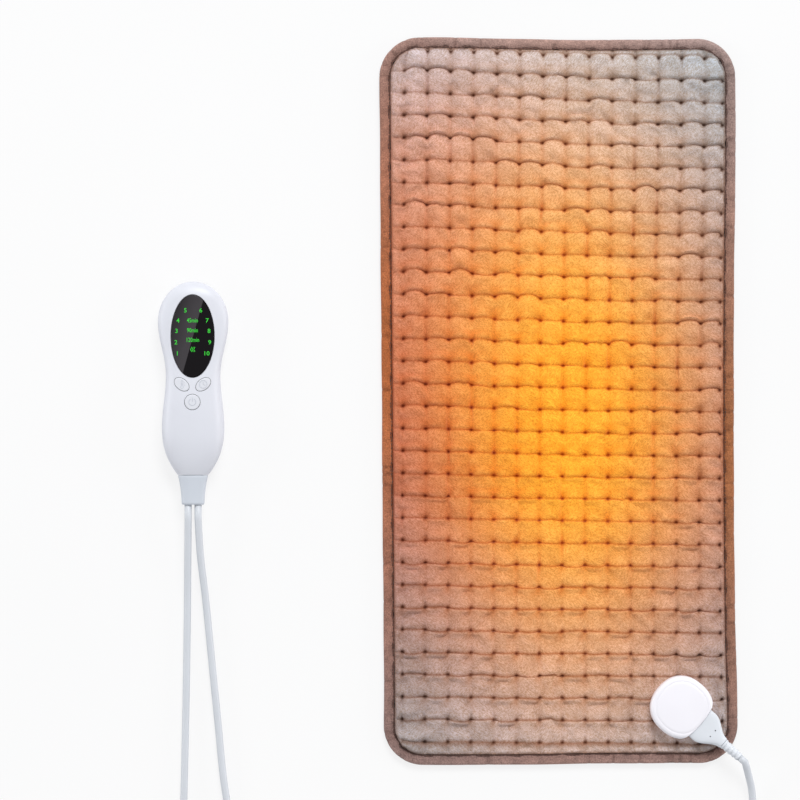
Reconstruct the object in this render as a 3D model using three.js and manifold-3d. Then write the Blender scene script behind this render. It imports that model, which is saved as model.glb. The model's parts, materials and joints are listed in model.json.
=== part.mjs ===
// Heating pad with a plug-in hand controller.
// Units are millimetres, +Z is up. The origin is the middle of the pad's flat underside,
// +X runs to the pad's right and +Y along its length, away from the connector.

import * as THREE from 'three';
import { mergeVertices } from 'three/addons/utils/BufferGeometryUtils.js';
import Module from 'manifold-3d';

const wasm = await Module();
wasm.setup();

// Clearances shared by all pieces
const GAP = 0.3;
const CUT_OVERRUN = 5;

// Pad outline and layers
const PAD_WIDTH = 298;
const PAD_LENGTH = 610;
const PAD_CORNER_RADIUS = 33;
const PAD_CORNER_STEPS = 6;
const BINDING_WIDTH = 9.2;
const BINDING_HEIGHT = 6.4;
const BINDING_TAPE = 1;
const BINDING_FOLD = 2;
const BINDING_FOLD_STEPS = 6;
const BACK_COVER_THICKNESS = 1.6;
const BACK_COVER_SLOPE = 2.8;
const FRONT_COVER_FLANGE = 1.9;
const SEAM_ALLOWANCE = 4.5;
const FELT_THICKNESS = 0.8;
const WIRE_DIAMETER = 2;
const FRONT_COVER_BASE = 1.9;

// Tufts of the front cover
const TUFT_COLUMNS = 15;
const TUFT_ROWS = 32;
const TUFT_PITCH_X = 19.27;
const TUFT_PITCH_Y = 18.64;
const TUFT_FIRST_COLUMN_INSET = 18.2;
const TUFT_FIRST_ROW_INSET = 13.45;
const TUFT_COLUMN_LEAN_SHARE = 0.0106;
const TUFT_ROW_TILT_SHARES = { top: -0.0335, bottom: -0.0112 };
const TUFT_CROWN = 4.1;
const TUFT_EDGE_MARGIN = 2.5;

// Heating wire
const WIRE_RUNS = 12;
const WIRE_RUNS_PAST_SOCKET = 3;
const WIRE_SIDE_INSET = 22.5;
const WIRE_TOP_INSET = 22;
const WIRE_BOTTOM_INSET = 33;
const WIRE_SOCKET_INSET = 80;
const WIRE_RETURN_INSET = 20;
const WIRE_TURN_STEPS = 5;
const WIRE_SIDES = 8;
const CUTOUT_LENGTH = 12;
const CUTOUT_WIDTH = 5;
const CUTOUT_LEAD_DIAMETER = 0.8;
const CUTOUT_AT_Y = -150;
const SENSOR_WIRE_DIAMETER = 1.6;
const SENSOR_BEAD_DIAMETER = 2.6;
const SENSOR_BEAD_LENGTH = 6;
const SENSOR_RUN_CLEARANCE = 8.8;

// Socket puck on the pad; its frame has +X towards the lead and its origin on the seam with the plug
const CONNECTOR_ANGLE_DEG = -40.8;
const CONNECTOR_INSET_X = 31.6;
const CONNECTOR_INSET_Y = 35.3;
const PUCK_RADIUS = 25.5;
const PUCK_CENTRE_BACK = 19.5;
const PUCK_SQUARENESS = 2.25;
const PUCK_POINTS = 28;
const PUCK_HEIGHT = 12.7;
const PUCK_WALL = 1.8;
const PUCK_EDGE_ROUND = 3.6;
// The rounded edge's points, as shares of its size inward and down from the top
const PUCK_EDGE_SHARES = [[0, 1], [0.13, 0.5], [0.5, 0.13], [1, 0.03], [2, 0]];
const PUCK_SEAT = 1.7;
const SEAM_SAG = 1.5;
const SEAM_HALF_WIDTH = 15;
const SEAM_SHOULDER_AT = 14.5;
const SEAM_SHOULDER_RADIUS = 11;
const SEAM_POINTS = 13;
const STUD_DIAMETER = 3;
const STUD_PLACES = [[-36, 0], [-8, 15], [-8, -15]];
const BACKING_PLATE_INSET = 3.5;
const BACKING_PLATE_FRONT = 1.5;
const SOCKET_LIP_HEIGHT = 1.6;
const SOCKET_LIP_WALL = 1;

// Contacts, plug tongue and its grip
const TONGUE_WIDTH = 19;
const TONGUE_HEIGHT = 5.4;
const TONGUE_REACH = 10;
const TONGUE_ROOT = 4;
const CONTACT_PITCH = 5.5;
const CONTACT_COUNT = 3;
const PIN_DIAMETER = 1.6;
const PIN_TIP = 3.5;
const POST_BACK = 20;
const BLOCK_LENGTH = 5.5;
const BLOCK_WIDTH = 18;
const SLEEVE_WALL = 0.5;
const SLEEVE_LENGTH = 9;
const PLUG_AXIS_Z = 15.2;
const GRIP_LENGTH = 26.5;
const GRIP_HALF_WIDTH = 14.5;
const GRIP_NECK_HALF_WIDTH = 4.9;
const GRIP_HALF_HEIGHT = 3.6;
const GRIP_NECK_HALF_HEIGHT = 4.1;
const GRIP_TAPER_START = 5.5;
const GRIP_BANDS = 12;
const GRIP_BASE_SQUARENESS = 4;
const GRIP_NECK_SQUARENESS = 2.2;

// Leads
const LEAD_DIAMETER = 6;
const LEAD_SIDES = 8;
const LEAD_SPACING = 8.4;
const RELIEF_LENGTH = 17.5;
const RELIEF_ROOT_RADIUS = 4.4;
const RELIEF_TIP_RADIUS = 3.7;
const RELIEF_RIB = 0.6;
const RELIEF_RIBS = 4;
const RELIEF_SIDES = 10;

// Controller; its frame has its origin under the tip of the head and -Y towards the leads
const HANDSET_X = -307;
const HANDSET_TIP_Y = 100;
const HANDSET_WALL = 2.2;
const HEAD_HALF_WIDTH = 29.5;
const HEAD_LENGTH = 33.5;
const WAIST_HALF_WIDTH = 22.8;
const WAIST_AT = 79;
const BELLY_HALF_WIDTH = 26.1;
const BELLY_AT = 122;
const NECK_HALF_WIDTH = 12.8;
const NECK_AT = 162.2;
const NECK_CURVE = 2.4;
const PARTING_Z = 11;
const HEAD_TOP_Z = 21.5;
const BELLY_TOP_Z = 25.5;
const TOP_RISE_FROM = 45;
const TOP_RISE_TO = 118;
const NECK_TOP_Z = 17.2;
const NECK_BASE_Z = 4.8;
const BASE_RISE_FROM = 125;
const NOSE_LENGTH = 14;
const BASE_FLAT_CUT = 0.4;
const TOP_SQUARENESS = 2.6;
const BASE_SQUARENESS = 4.5;
const SECTION_BUNCHING_SHARE = 0.5;
const NOSE_STATIONS = 5;
const NOSE_FIRST_SHARE = 0.33;
const NOSE_INSET_SHARE = 1.4;
const BODY_STATIONS = 10;
const OUTER_POINTS = 24;
const INNER_POINTS = 12;
const LIP_HEIGHT = 1.6;
const LIP_WALL = 1;
const LIP_CLEARANCE = 0.7;
const LIP_END_INSET = 9.6;

// Display window
const WINDOW_AT = 45.9;
const WINDOW_HALF_WIDTH = 18.3;
const WINDOW_HALF_LENGTH = 34.75;
const WINDOW_THICKNESS = 1.1;
const WINDOW_LEDGE = 1.6;
const WINDOW_POINTS = 32;
const DISPLAY_HALF_WIDTH = 12.5;
const DISPLAY_HALF_LENGTH = 27;
const DISPLAY_TOP_Z = 17;

// Buttons
const OVAL_SEMI_MAJOR = 7.05;
const OVAL_SEMI_MINOR = 4.5;
const OVAL_TILT_DEG = 38;
const OVAL_SPREAD = 9;
const OVAL_AT = 86.3;
const POWER_RADIUS = 6.45;
const POWER_AT = 101.1;
const BUTTON_POINTS = 18;
const BUTTON_CLEARANCE = 0.35;
const BUTTON_PROUD = 0.3;
const BUTTON_FLANGE = 1;
const BUTTON_FLANGE_THICKNESS = 1.2;
const BUTTON_FLANGE_CLEARANCE = 1;
const BUTTON_STEM_RADIUS = 2;
const BUTTON_TRAVEL = 0.6;

// Control board and what it carries
const BOARD_Z = 6.6;
const BOARD_THICKNESS = 1.6;
const BOARD_START = 9;
const BOARD_END = 146.8;
const BOARD_MARGIN = 2.6;
const BOARD_POINTS = 14;
const PILLAR_RADIUS = 2;
const PILLAR_PLACES = [[-8, 30], [8, 30], [-8, 120], [8, 120]];
const SWITCH_WIDTH = 6;
const SWITCH_HEIGHT = 4.2;
const SWITCH_FLOOR = 1;
const SWITCH_PLUNGER_RADIUS = 1.7;
const SWITCH_PLUNGER_LENGTH = 4.6;
const CHIP_SIZE = 7;
const CHIP_HEIGHT = 1.4;
const CHIP_AT = [0, 112];
const CAPACITOR_SIZE = [18, 7, 11];
const CAPACITOR_AT = [-9, 124];
const TRIAC_SIZE = [10, 4.4, 8];
const TRIAC_TAB = [10, 1.2, 3];
const TRIAC_AT = [12, 104];
const FUSE_RADIUS = 2.6;
const FUSE_LENGTH = 18;
const FUSE_CAP_LENGTH = 4;
const FUSE_CAP_WALL = 0.4;
const FUSE_AT = [11, 121];
const TERMINAL_SIZE = [18, 9.5, 8];
const TERMINAL_END = 146.7;
const TERMINAL_HOLE_RADIUS = 1.3;
const TERMINAL_HOLES = 4;
const TERMINAL_HOLE_PITCH = 4.2;

// Leads' entry: boot, clamp and housing screws
const BOOT_LENGTH = 24.7;
const BOOT_ROOT_HALF_WIDTH = 12.7;
const BOOT_TIP_HALF_WIDTH = 9.6;
const BOOT_ROOT_HALF_HEIGHT = 6.1;
const BOOT_TIP_HALF_HEIGHT = 4.9;
const BOOT_STATIONS = 5;
const BOOT_POINTS = 20;
const BOOT_FLANGE_HALF_WIDTH = 10.5;
const BOOT_FLANGE_HALF_HEIGHT = 4.3;
const BOOT_GROOVE_HALF_WIDTH = 8.3;
const BOOT_GROOVE_HALF_HEIGHT = 3.3;
const BOOT_FLANGE_THICKNESS = 2.8;
const CLAMP_AT = 150;
const CLAMP_LENGTH = 5;
const CLAMP_THICKNESS = 1.6;
const CLAMP_SCREW_PLACES = [[-9.4, 150], [9.4, 150]];
const CLAMP_POST_RADIUS = 1.9;
const CLAMP_SCREW_SHANK_RADIUS = 0.8;
const CLAMP_SCREW_HEAD_RADIUS = 1.9;
const CLAMP_SCREW_HEAD_HEIGHT = 1;
const CLAMP_SCREW_LENGTH = 6;
const BOSS_RADIUS = 4.2;
const BOSS_PLACES = [[-18, 20], [18, 20], [-15, 138], [15, 138]];
const SCREW_SHANK_RADIUS = 1.2;
const SCREW_HEAD_RADIUS = 2.6;
const SCREW_HEAD_HEIGHT = 1.9;
const SCREW_HEAD_Z = 0.9;
const SCREW_REACH_Z = 16;

// Coil of the mains lead, its tie and the mains plug
const COIL_CENTRE = [-361.5, -402];
const COIL_OUTER_RADIUS = 45.5;
const COIL_PITCH = 6.5;
const COIL_TURNS_PER_LAYER = 3;
const COIL_STEPS_PER_TURN = 24;
const COIL_SIDES = 6;
const COIL_END_LENGTH = 8;
const TIE_WIDTH = 10;
const TIE_THICKNESS = 1;
const TIE_SLACK = 1;
const PLUG_AT_Y = -470;
const PLUG_HALF_WIDTH = 12.5;
const PLUG_HALF_HEIGHT = 7;
const PLUG_LENGTH = 30;
const PLUG_REAR_HALF_WIDTH = 6.5;
const PLUG_REAR_HALF_HEIGHT = 5.5;
const PLUG_WAIST_SHARES = [[0, 0], [0.12, 0.55], [0.3, 0.62], [0.5, 0.5], [0.75, 0.9], [1, 1]];
const PLUG_SQUARENESS = 3;
const PLUG_FLAT_CUT = 0.3;
const PLUG_POINTS = 20;
const BLADE_SPACING = 12.7;
const BLADE_WIDTH = 6.4;
const BLADE_WIDE_WIDTH = 8;
const BLADE_THICKNESS = 1.5;
const BLADE_LENGTH = 17;
const BLADE_SEAT = 7;
const BLADE_HOLE_RADIUS = 1.5;
const MAINS_RELIEF_LENGTH = 24;
const MAINS_RELIEF_ROOT_RADIUS = 5.2;
const MAINS_RELIEF_RIBS = 5;

const ROUND_SIDES = 16;
const SMALL_SIDES = 8;

// Heights that follow from the layers
const FELT_Z = BACK_COVER_THICKNESS + GAP;
const WIRE_Z = FELT_Z + FELT_THICKNESS + GAP + WIRE_DIAMETER / 2;
const CAVITY_TOP_Z = WIRE_Z + WIRE_DIAMETER / 2 + GAP;
const SLOT_BOTTOM_Z = BINDING_TAPE;
const SLOT_TOP_Z = BINDING_HEIGHT - BINDING_TAPE;
const BACK_FLANGE_Z = SLOT_BOTTOM_Z + GAP;
const FRONT_FLANGE_TOP_Z = SLOT_TOP_Z - GAP;
const FRONT_FLANGE_Z = FRONT_FLANGE_TOP_Z - FRONT_COVER_FLANGE;
const TUFT_LOW_Z = CAVITY_TOP_Z + FRONT_COVER_BASE;
const TUFT_CROWN_Z = TUFT_LOW_Z + TUFT_CROWN;
const COVER_INSET = BINDING_WIDTH + GAP;
const COVER_EDGE_Z = BINDING_HEIGHT + 2 * GAP;
const PUCK_SEAT_Z = CAVITY_TOP_Z + PUCK_SEAT;
const PUCK_Z = PUCK_SEAT_Z + GAP;
const PUCK_TOP_Z = PUCK_Z + PUCK_HEIGHT;
const PUCK_PARTING_Z = PLUG_AXIS_Z;

// Plain helpers

const mix = (from, to, share) => from + (to - from) * share;
const clamp01 = (value) => Math.min(Math.max(value, 0), 1);
const ease = (share) => (1 - Math.cos(Math.PI * clamp01(share))) / 2;
const radians = (degrees) => (degrees * Math.PI) / 180;
const range = (count) => Array.from({ length: count }, (_, k) => k);

function closedGeometry(positions, faces) {
  let volume = 0;
  const corner = (k) => new THREE.Vector3().fromArray(positions, 3 * faces[k]);
  for (let k = 0; k < faces.length; k += 3) {
    volume += corner(k).dot(corner(k + 1).cross(corner(k + 2)));
  }
  if (volume < 0) {
    for (let k = 0; k < faces.length; k += 3) [faces[k], faces[k + 1]] = [faces[k + 1], faces[k]];
  }
  const geometry = new THREE.BufferGeometry();
  geometry.setAttribute('position', new THREE.Float32BufferAttribute(positions, 3));
  geometry.setIndex(faces);
  return geometry;
}

// Skins a row of rings that all have as many points; the ends are capped, or joined to each other
function loft(rings, joinEnds = false) {
  const count = rings[0].length;
  const positions = rings.flat().flatMap((point) => point.toArray());
  const faces = [];
  const bands = joinEnds ? rings.length : rings.length - 1;
  for (let band = 0; band < bands; band++) {
    const low = band * count;
    const high = ((band + 1) % rings.length) * count;
    for (let k = 0; k < count; k++) {
      const next = (k + 1) % count;
      faces.push(low + k, low + next, high + next, low + k, high + next, high + k);
    }
  }
  const caps = joinEnds ? [] : [{ ring: 0, turn: -1 }, { ring: rings.length - 1, turn: 1 }];
  for (const cap of caps) {
    const centre = positions.length / 3;
    const middle = new THREE.Vector3();
    rings[cap.ring].forEach((point) => middle.add(point));
    positions.push(...middle.divideScalar(count).toArray());
    for (let k = 0; k < count; k++) {
      const a = cap.ring * count + k;
      const b = cap.ring * count + ((k + 1) % count);
      faces.push(centre, cap.turn > 0 ? a : b, cap.turn > 0 ? b : a);
    }
  }
  return closedGeometry(positions, faces);
}

function ringAt(outline, z) {
  return outline.map(([x, y]) => new THREE.Vector3(x, y, z));
}

function prism(outline, lowZ, highZ) {
  const shape = new THREE.Shape(outline.map(([x, y]) => new THREE.Vector2(x, y)));
  const geometry = new THREE.ExtrudeGeometry(shape, { depth: highZ - lowZ, bevelEnabled: false });
  return geometry.translate(0, 0, lowZ);
}

function box(lowX, highX, lowY, highY, lowZ, highZ) {
  const geometry = new THREE.BoxGeometry(highX - lowX, highY - lowY, highZ - lowZ);
  return geometry.translate((lowX + highX) / 2, (lowY + highY) / 2, (lowZ + highZ) / 2);
}

function boxAround([x, y], [width, depth, height], lowZ) {
  return box(x - width / 2, x + width / 2, y - depth / 2, y + depth / 2, lowZ, lowZ + height);
}

function ellipse(x, y, semiX, semiY, points, tiltDeg = 0) {
  const tilt = radians(tiltDeg);
  return range(points).map((k) => {
    const angle = (2 * Math.PI * k) / points;
    const u = semiX * Math.cos(angle);
    const v = semiY * Math.sin(angle);
    return [x + u * Math.cos(tilt) - v * Math.sin(tilt), y + u * Math.sin(tilt) + v * Math.cos(tilt)];
  });
}

function rod([x, y], radius, lowZ, highZ, sides = ROUND_SIDES) {
  return prism(ellipse(x, y, radius, radius, sides), lowZ, highZ);
}

// A round tube through the points: each ring is the last one carried along to the mitre plane
function tube(points, radius, sides) {
  const steps = points.slice(1).map((point, k) => point.clone().sub(points[k]).normalize());
  const first = steps[0];
  const level = Math.abs(first.z) < Math.SQRT1_2;
  const upright = level ? new THREE.Vector3(0, 0, 1) : new THREE.Vector3(1, 0, 0);
  const side = new THREE.Vector3().crossVectors(upright, first).normalize();
  const up = new THREE.Vector3().crossVectors(first, side);
  let ring = range(sides).map((k) => {
    const angle = (2 * Math.PI * (k + 1 / 2)) / sides;
    const offset = side.clone().multiplyScalar(radius * Math.cos(angle));
    return offset.addScaledVector(up, radius * Math.sin(angle)).add(points[0]);
  });
  const rings = [ring];
  for (let k = 1; k < points.length; k++) {
    const along = steps[k - 1];
    const normal = k < steps.length ? along.clone().add(steps[k]) : along;
    ring = ring.map((corner) => {
      const reach = points[k].clone().sub(corner).dot(normal) / along.dot(normal);
      return corner.clone().addScaledVector(along, reach);
    });
    rings.push(ring);
  }
  return loft(rings);
}

function solid(geometry) {
  const bare = new THREE.BufferGeometry();
  bare.setAttribute('position', geometry.getAttribute('position'));
  if (geometry.index) bare.setIndex(geometry.index);
  const merged = mergeVertices(bare);
  return new wasm.Manifold(new wasm.Mesh({
    numProp: 3,
    vertProperties: Float32Array.from(merged.getAttribute('position').array),
    triVerts: Uint32Array.from(merged.index.array),
  }));
}

const body = (shape) => (shape.isBufferGeometry ? solid(shape) : shape);
const join = (first, ...rest) => rest.reduce((sum, next) => sum.add(body(next)), body(first));
const cut = (first, ...rest) => rest.reduce((left, next) => left.subtract(body(next)), body(first));
const overlap = (first, second) => body(first).intersect(body(second));

function finished(shape) {
  if (shape.isBufferGeometry) {
    shape.computeVertexNormals();
    return shape;
  }
  const mesh = shape.getMesh();
  const geometry = new THREE.BufferGeometry();
  geometry.setAttribute('position', new THREE.BufferAttribute(mesh.vertProperties, 3));
  geometry.setIndex(new THREE.BufferAttribute(mesh.triVerts, 1));
  geometry.computeVertexNormals();
  return geometry;
}

// Materials

const material = (color, roughness, metalness = 0) =>
  new THREE.MeshStandardMaterial({ color, roughness, metalness });
const MATERIALS = {
  flannel: material(0xc8a08a, 0.95),
  binding: material(0x9c7c6c, 0.9),
  felt: material(0xd9d4cc, 1),
  heatingWire: material(0xb5483a, 0.6),
  white: material(0xdadce3, 0.35),
  lead: material(0xd0d6dd, 0.45),
  boot: material(0xc8cfd9, 0.5),
  window: material(0x121012, 0.08),
  display: material(0x1d2a1f, 0.4),
  board: material(0x1f6b3a, 0.5),
  black: material(0x1b1b1d, 0.5),
  amber: material(0xc98a2b, 0.4),
  blue: material(0x2f5fa8, 0.4),
  brass: material(0xc9a44a, 0.3, 1),
  steel: material(0xb8bcc0, 0.3, 1),
  glass: material(0xe8eef0, 0.1),
};

const model = new THREE.Group();
const connector = new THREE.Group();
const handset = new THREE.Group();
model.add(connector, handset);

function piece(name, shape, finish, parent = model) {
  const mesh = new THREE.Mesh(finished(shape), finish);
  mesh.name = name;
  parent.add(mesh);
}

// Pad

function padOutline(inset) {
  const halfWidth = PAD_WIDTH / 2 - inset;
  const halfLength = PAD_LENGTH / 2 - inset;
  const radius = PAD_CORNER_RADIUS - inset;
  const quarters = [[1, 1], [-1, 1], [-1, -1], [1, -1]];
  return quarters.flatMap(([sideX, sideY], quarter) =>
    range(PAD_CORNER_STEPS + 1).map((k) => {
      const angle = (Math.PI / 2) * (quarter + k / PAD_CORNER_STEPS);
      const x = sideX * (halfWidth - radius) + radius * Math.cos(angle);
      const y = sideY * (halfLength - radius) + radius * Math.sin(angle);
      return [x, y];
    }));
}

function padLoft(profile, joinEnds = false) {
  return loft(profile.map(([inset, z]) => ringAt(padOutline(inset), z)), joinEnds);
}

// The tape is folded round the edge: a half-round outside and a slot inside that takes both covers
function edgeBinding() {
  const round = BINDING_HEIGHT / 2;
  const fold = range(BINDING_FOLD_STEPS + 1).map((k) => {
    const angle = (Math.PI * k) / BINDING_FOLD_STEPS;
    return [round - round * Math.sin(angle), round - round * Math.cos(angle)];
  });
  const slot = [
    [BINDING_WIDTH, BINDING_HEIGHT],
    [BINDING_WIDTH, SLOT_TOP_Z],
    [BINDING_FOLD, SLOT_TOP_Z],
    [BINDING_FOLD, SLOT_BOTTOM_Z],
    [BINDING_WIDTH, SLOT_BOTTOM_Z],
    [BINDING_WIDTH, 0],
  ];
  return padLoft([...fold, ...slot], true);
}

function backCover() {
  const flangeEnd = COVER_INSET + BINDING_TAPE;
  const flatStart = flangeEnd + BACK_COVER_SLOPE;
  return padLoft([
    [flatStart, 0],
    [flangeEnd, BACK_FLANGE_Z],
    [BINDING_FOLD + GAP, BACK_FLANGE_Z],
    [BINDING_FOLD + GAP, BACK_FLANGE_Z + BACK_COVER_THICKNESS],
    [flangeEnd + GAP, BACK_FLANGE_Z + BACK_COVER_THICKNESS],
    [flatStart + GAP, BACK_COVER_THICKNESS],
  ]);
}

const tuftTopRowY = PAD_LENGTH / 2 - TUFT_FIRST_ROW_INSET;

// Keeps a place inside the pad's rounded outline, moved in by an inset
function insideOutline([x, y], inset) {
  const halfWidth = PAD_WIDTH / 2 - inset;
  const halfLength = PAD_LENGTH / 2 - inset;
  const radius = PAD_CORNER_RADIUS - inset;
  const nearX = Math.min(Math.abs(x), halfWidth);
  const nearY = Math.min(Math.abs(y), halfLength);
  const outX = nearX - (halfWidth - radius);
  const outY = nearY - (halfLength - radius);
  const inCorner = outX > 0 && outY > 0;
  const pull = inCorner ? Math.min(1, radius / Math.hypot(outX, outY)) : 1;
  const keptX = inCorner ? halfWidth - radius + outX * pull : nearX;
  const keptY = inCorner ? halfLength - radius + outY * pull : nearY;
  return [Math.sign(x) * keptX, Math.sign(y) * keptY];
}

// Place of one tuft; the columns lean and the rows tilt a little, as the cloth was sewn
function tuftPlace(column, row) {
  const level = tuftTopRowY - row * TUFT_PITCH_Y;
  const lean = TUFT_COLUMN_LEAN_SHARE * level;
  const x = TUFT_FIRST_COLUMN_INSET - PAD_WIDTH / 2 + column * TUFT_PITCH_X + lean;
  const tilt = mix(TUFT_ROW_TILT_SHARES.top, TUFT_ROW_TILT_SHARES.bottom, 1 / 2 - level / PAD_LENGTH);
  return insideOutline([x, level + tilt * x], COVER_INSET + TUFT_EDGE_MARGIN);
}

// One low pyramid for each cell between four tufts, a plain border out to the binding, and below it
// the flange that lies in the binding's slot
function tuftedCover() {
  const positions = [];
  const faces = [];
  for (let row = 0; row < TUFT_ROWS; row++) {
    for (let column = 0; column < TUFT_COLUMNS; column++) {
      positions.push(...tuftPlace(column, row), TUFT_LOW_Z);
    }
  }
  const point = (k) => new THREE.Vector3().fromArray(positions, 3 * k);
  for (let row = 0; row + 1 < TUFT_ROWS; row++) {
    for (let column = 0; column + 1 < TUFT_COLUMNS; column++) {
      const node = row * TUFT_COLUMNS + column;
      const corners = [node, node + TUFT_COLUMNS, node + TUFT_COLUMNS + 1, node + 1];
      const crown = new THREE.Vector3();
      corners.forEach((corner) => crown.add(point(corner)));
      crown.divideScalar(corners.length).setZ(TUFT_CROWN_Z);
      const centre = positions.length / 3;
      positions.push(...crown.toArray());
      corners.forEach((corner, k) => faces.push(corner, corners[(k + 1) % corners.length], centre));
    }
  }

  const border = [
    ...range(TUFT_ROWS - 1).map((row) => row * TUFT_COLUMNS),
    ...range(TUFT_COLUMNS - 1).map((column) => (TUFT_ROWS - 1) * TUFT_COLUMNS + column),
    ...range(TUFT_ROWS - 1).map((row) => (TUFT_ROWS - row) * TUFT_COLUMNS - 1),
    ...range(TUFT_COLUMNS - 1).map((column) => TUFT_COLUMNS - 1 - column),
  ].reverse();
  const flat = (places) => places.map(([x, y]) => new THREE.Vector2(x, y));
  const rimPlaces = padOutline(COVER_INSET);
  const borderPlaces = border.map((k) => [positions[3 * k], positions[3 * k + 1]]);
  const rim = range(rimPlaces.length).map((k) => positions.length / 3 + k);
  const inner = [...rim, ...border];
  THREE.ShapeUtils.triangulateShape(flat(rimPlaces), [flat(borderPlaces)])
    .forEach((corners) => faces.push(...corners.map((k) => inner[k])));

  const seamInset = COVER_INSET + SEAM_ALLOWANCE;
  const profile = [
    [COVER_INSET, COVER_EDGE_Z],
    [COVER_INSET, FRONT_FLANGE_TOP_Z],
    [BINDING_FOLD + GAP, FRONT_FLANGE_TOP_Z],
    [BINDING_FOLD + GAP, FRONT_FLANGE_Z],
    [seamInset, FRONT_FLANGE_Z],
    [seamInset, CAVITY_TOP_Z],
  ];
  profile.forEach(([inset, z]) => padOutline(inset).forEach(([x, y]) => positions.push(x, y, z)));
  const middle = positions.length / 3;
  positions.push(0, 0, CAVITY_TOP_Z);
  rim.forEach((upper, k) => {
    const next = rim[(k + 1) % rim.length];
    for (let band = 0; band + 1 < profile.length; band++) {
      const [high, low] = [band * rim.length, (band + 1) * rim.length];
      faces.push(upper + high, upper + low, next + low, upper + high, next + low, next + high);
    }
    const last = (profile.length - 1) * rim.length;
    faces.push(next + last, upper + last, middle);
  });
  return closedGeometry(positions, faces);
}

function frontCover() {
  const bulkTop = TUFT_CROWN_Z + CUT_OVERRUN;
  const seat = onPad(prism(puckRound(-GAP), PUCK_SEAT_Z, bulkTop));
  const studHoles = STUD_PLACES.map((place) =>
    onPad(rod(place, STUD_DIAMETER / 2 + GAP, 0, bulkTop, WIRE_SIDES)));
  const post = PIN_DIAMETER / 2 + GAP;
  const postSlot = onPad(box(-POST_BACK - post, -POST_BACK + post, contactOffsets[0] - post,
    contactOffsets[CONTACT_COUNT - 1] + post, 0, bulkTop));
  return cut(tuftedCover(), seat, ...studHoles, postSlot);
}

function carrierFelt() {
  const inset = COVER_INSET + SEAM_ALLOWANCE + BINDING_TAPE;
  const sheet = padLoft([[inset, FELT_Z], [inset, FELT_Z + FELT_THICKNESS]]);
  return cut(sheet, onPad(prism(backingPlateOutline(GAP), FELT_Z - CUT_OVERRUN, FELT_Z + CUT_OVERRUN)));
}

// Socket puck

const contactOffsets = range(CONTACT_COUNT).map((k) => (k - (CONTACT_COUNT - 1) / 2) * CONTACT_PITCH);
connector.position.set(PAD_WIDTH / 2 - CONNECTOR_INSET_X, CONNECTOR_INSET_Y - PAD_LENGTH / 2, 0);
connector.rotation.z = radians(CONNECTOR_ANGLE_DEG);
connector.updateMatrix();

const onPad = (geometry) => geometry.applyMatrix4(connector.matrix);
const placeOnPad = (x, y, z) => new THREE.Vector3(x, y, z).applyMatrix4(connector.matrix);

// Rounded, slightly square outline; inset makes it smaller all round
function puckRound(inset) {
  const radius = PUCK_RADIUS - inset;
  return range(PUCK_POINTS).map((k) => {
    const angle = (2 * Math.PI * (k + 1 / 2)) / PUCK_POINTS;
    const bulge = (value) => radius * Math.sign(value) * Math.abs(value) ** (2 / PUCK_SQUARENESS);
    return [bulge(Math.cos(angle)) - PUCK_CENTRE_BACK, bulge(Math.sin(angle))];
  });
}

// The seam bulges towards the lead in its middle and turns back into the puck's shoulders
function seamX(y) {
  const middle = SEAM_SAG * (1 - (y / SEAM_HALF_WIDTH) ** 2);
  const past = Math.max(Math.abs(y) - SEAM_SHOULDER_AT, 0);
  return middle - past ** 2 / (2 * SEAM_SHOULDER_RADIUS);
}

// Everything behind the seam, moved back by an inset, as tall as asked
function behindSeam(inset, lowZ, highZ) {
  const reach = PUCK_RADIUS + CUT_OVERRUN;
  const seam = range(SEAM_POINTS).map((k) => {
    const y = mix(-reach, reach, k / (SEAM_POINTS - 1));
    return [seamX(y) - inset, y];
  });
  const back = -PUCK_CENTRE_BACK - reach;
  return prism([...seam, [back, reach], [back, -reach]], lowZ, highZ);
}

function puckBody(inset, profile) {
  const lows = profile.map(([, z]) => z);
  const rounded = loft(profile.map(([step, z]) => ringAt(puckRound(inset + step), z)));
  const [low, high] = [Math.min(...lows) - CUT_OVERRUN, Math.max(...lows) + CUT_OVERRUN];
  return overlap(rounded, behindSeam(inset, low, high));
}

function backingPlateOutline(clearance) {
  const inset = BACKING_PLATE_INSET - clearance;
  return puckRound(inset).map(([x, y]) => [Math.min(x, clearance - BACKING_PLATE_FRONT), y]);
}

function mouth() {
  const halfWidth = TONGUE_WIDTH / 2 + GAP;
  const halfHeight = TONGUE_HEIGHT / 2 + GAP;
  const back = -TONGUE_REACH - GAP;
  return box(back, CUT_OVERRUN, -halfWidth, halfWidth, PLUG_AXIS_Z - halfHeight, PLUG_AXIS_Z + halfHeight);
}

const puckFloorZ = PUCK_Z + PUCK_WALL;
const puckRoofZ = PUCK_TOP_Z - PUCK_WALL;

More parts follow.
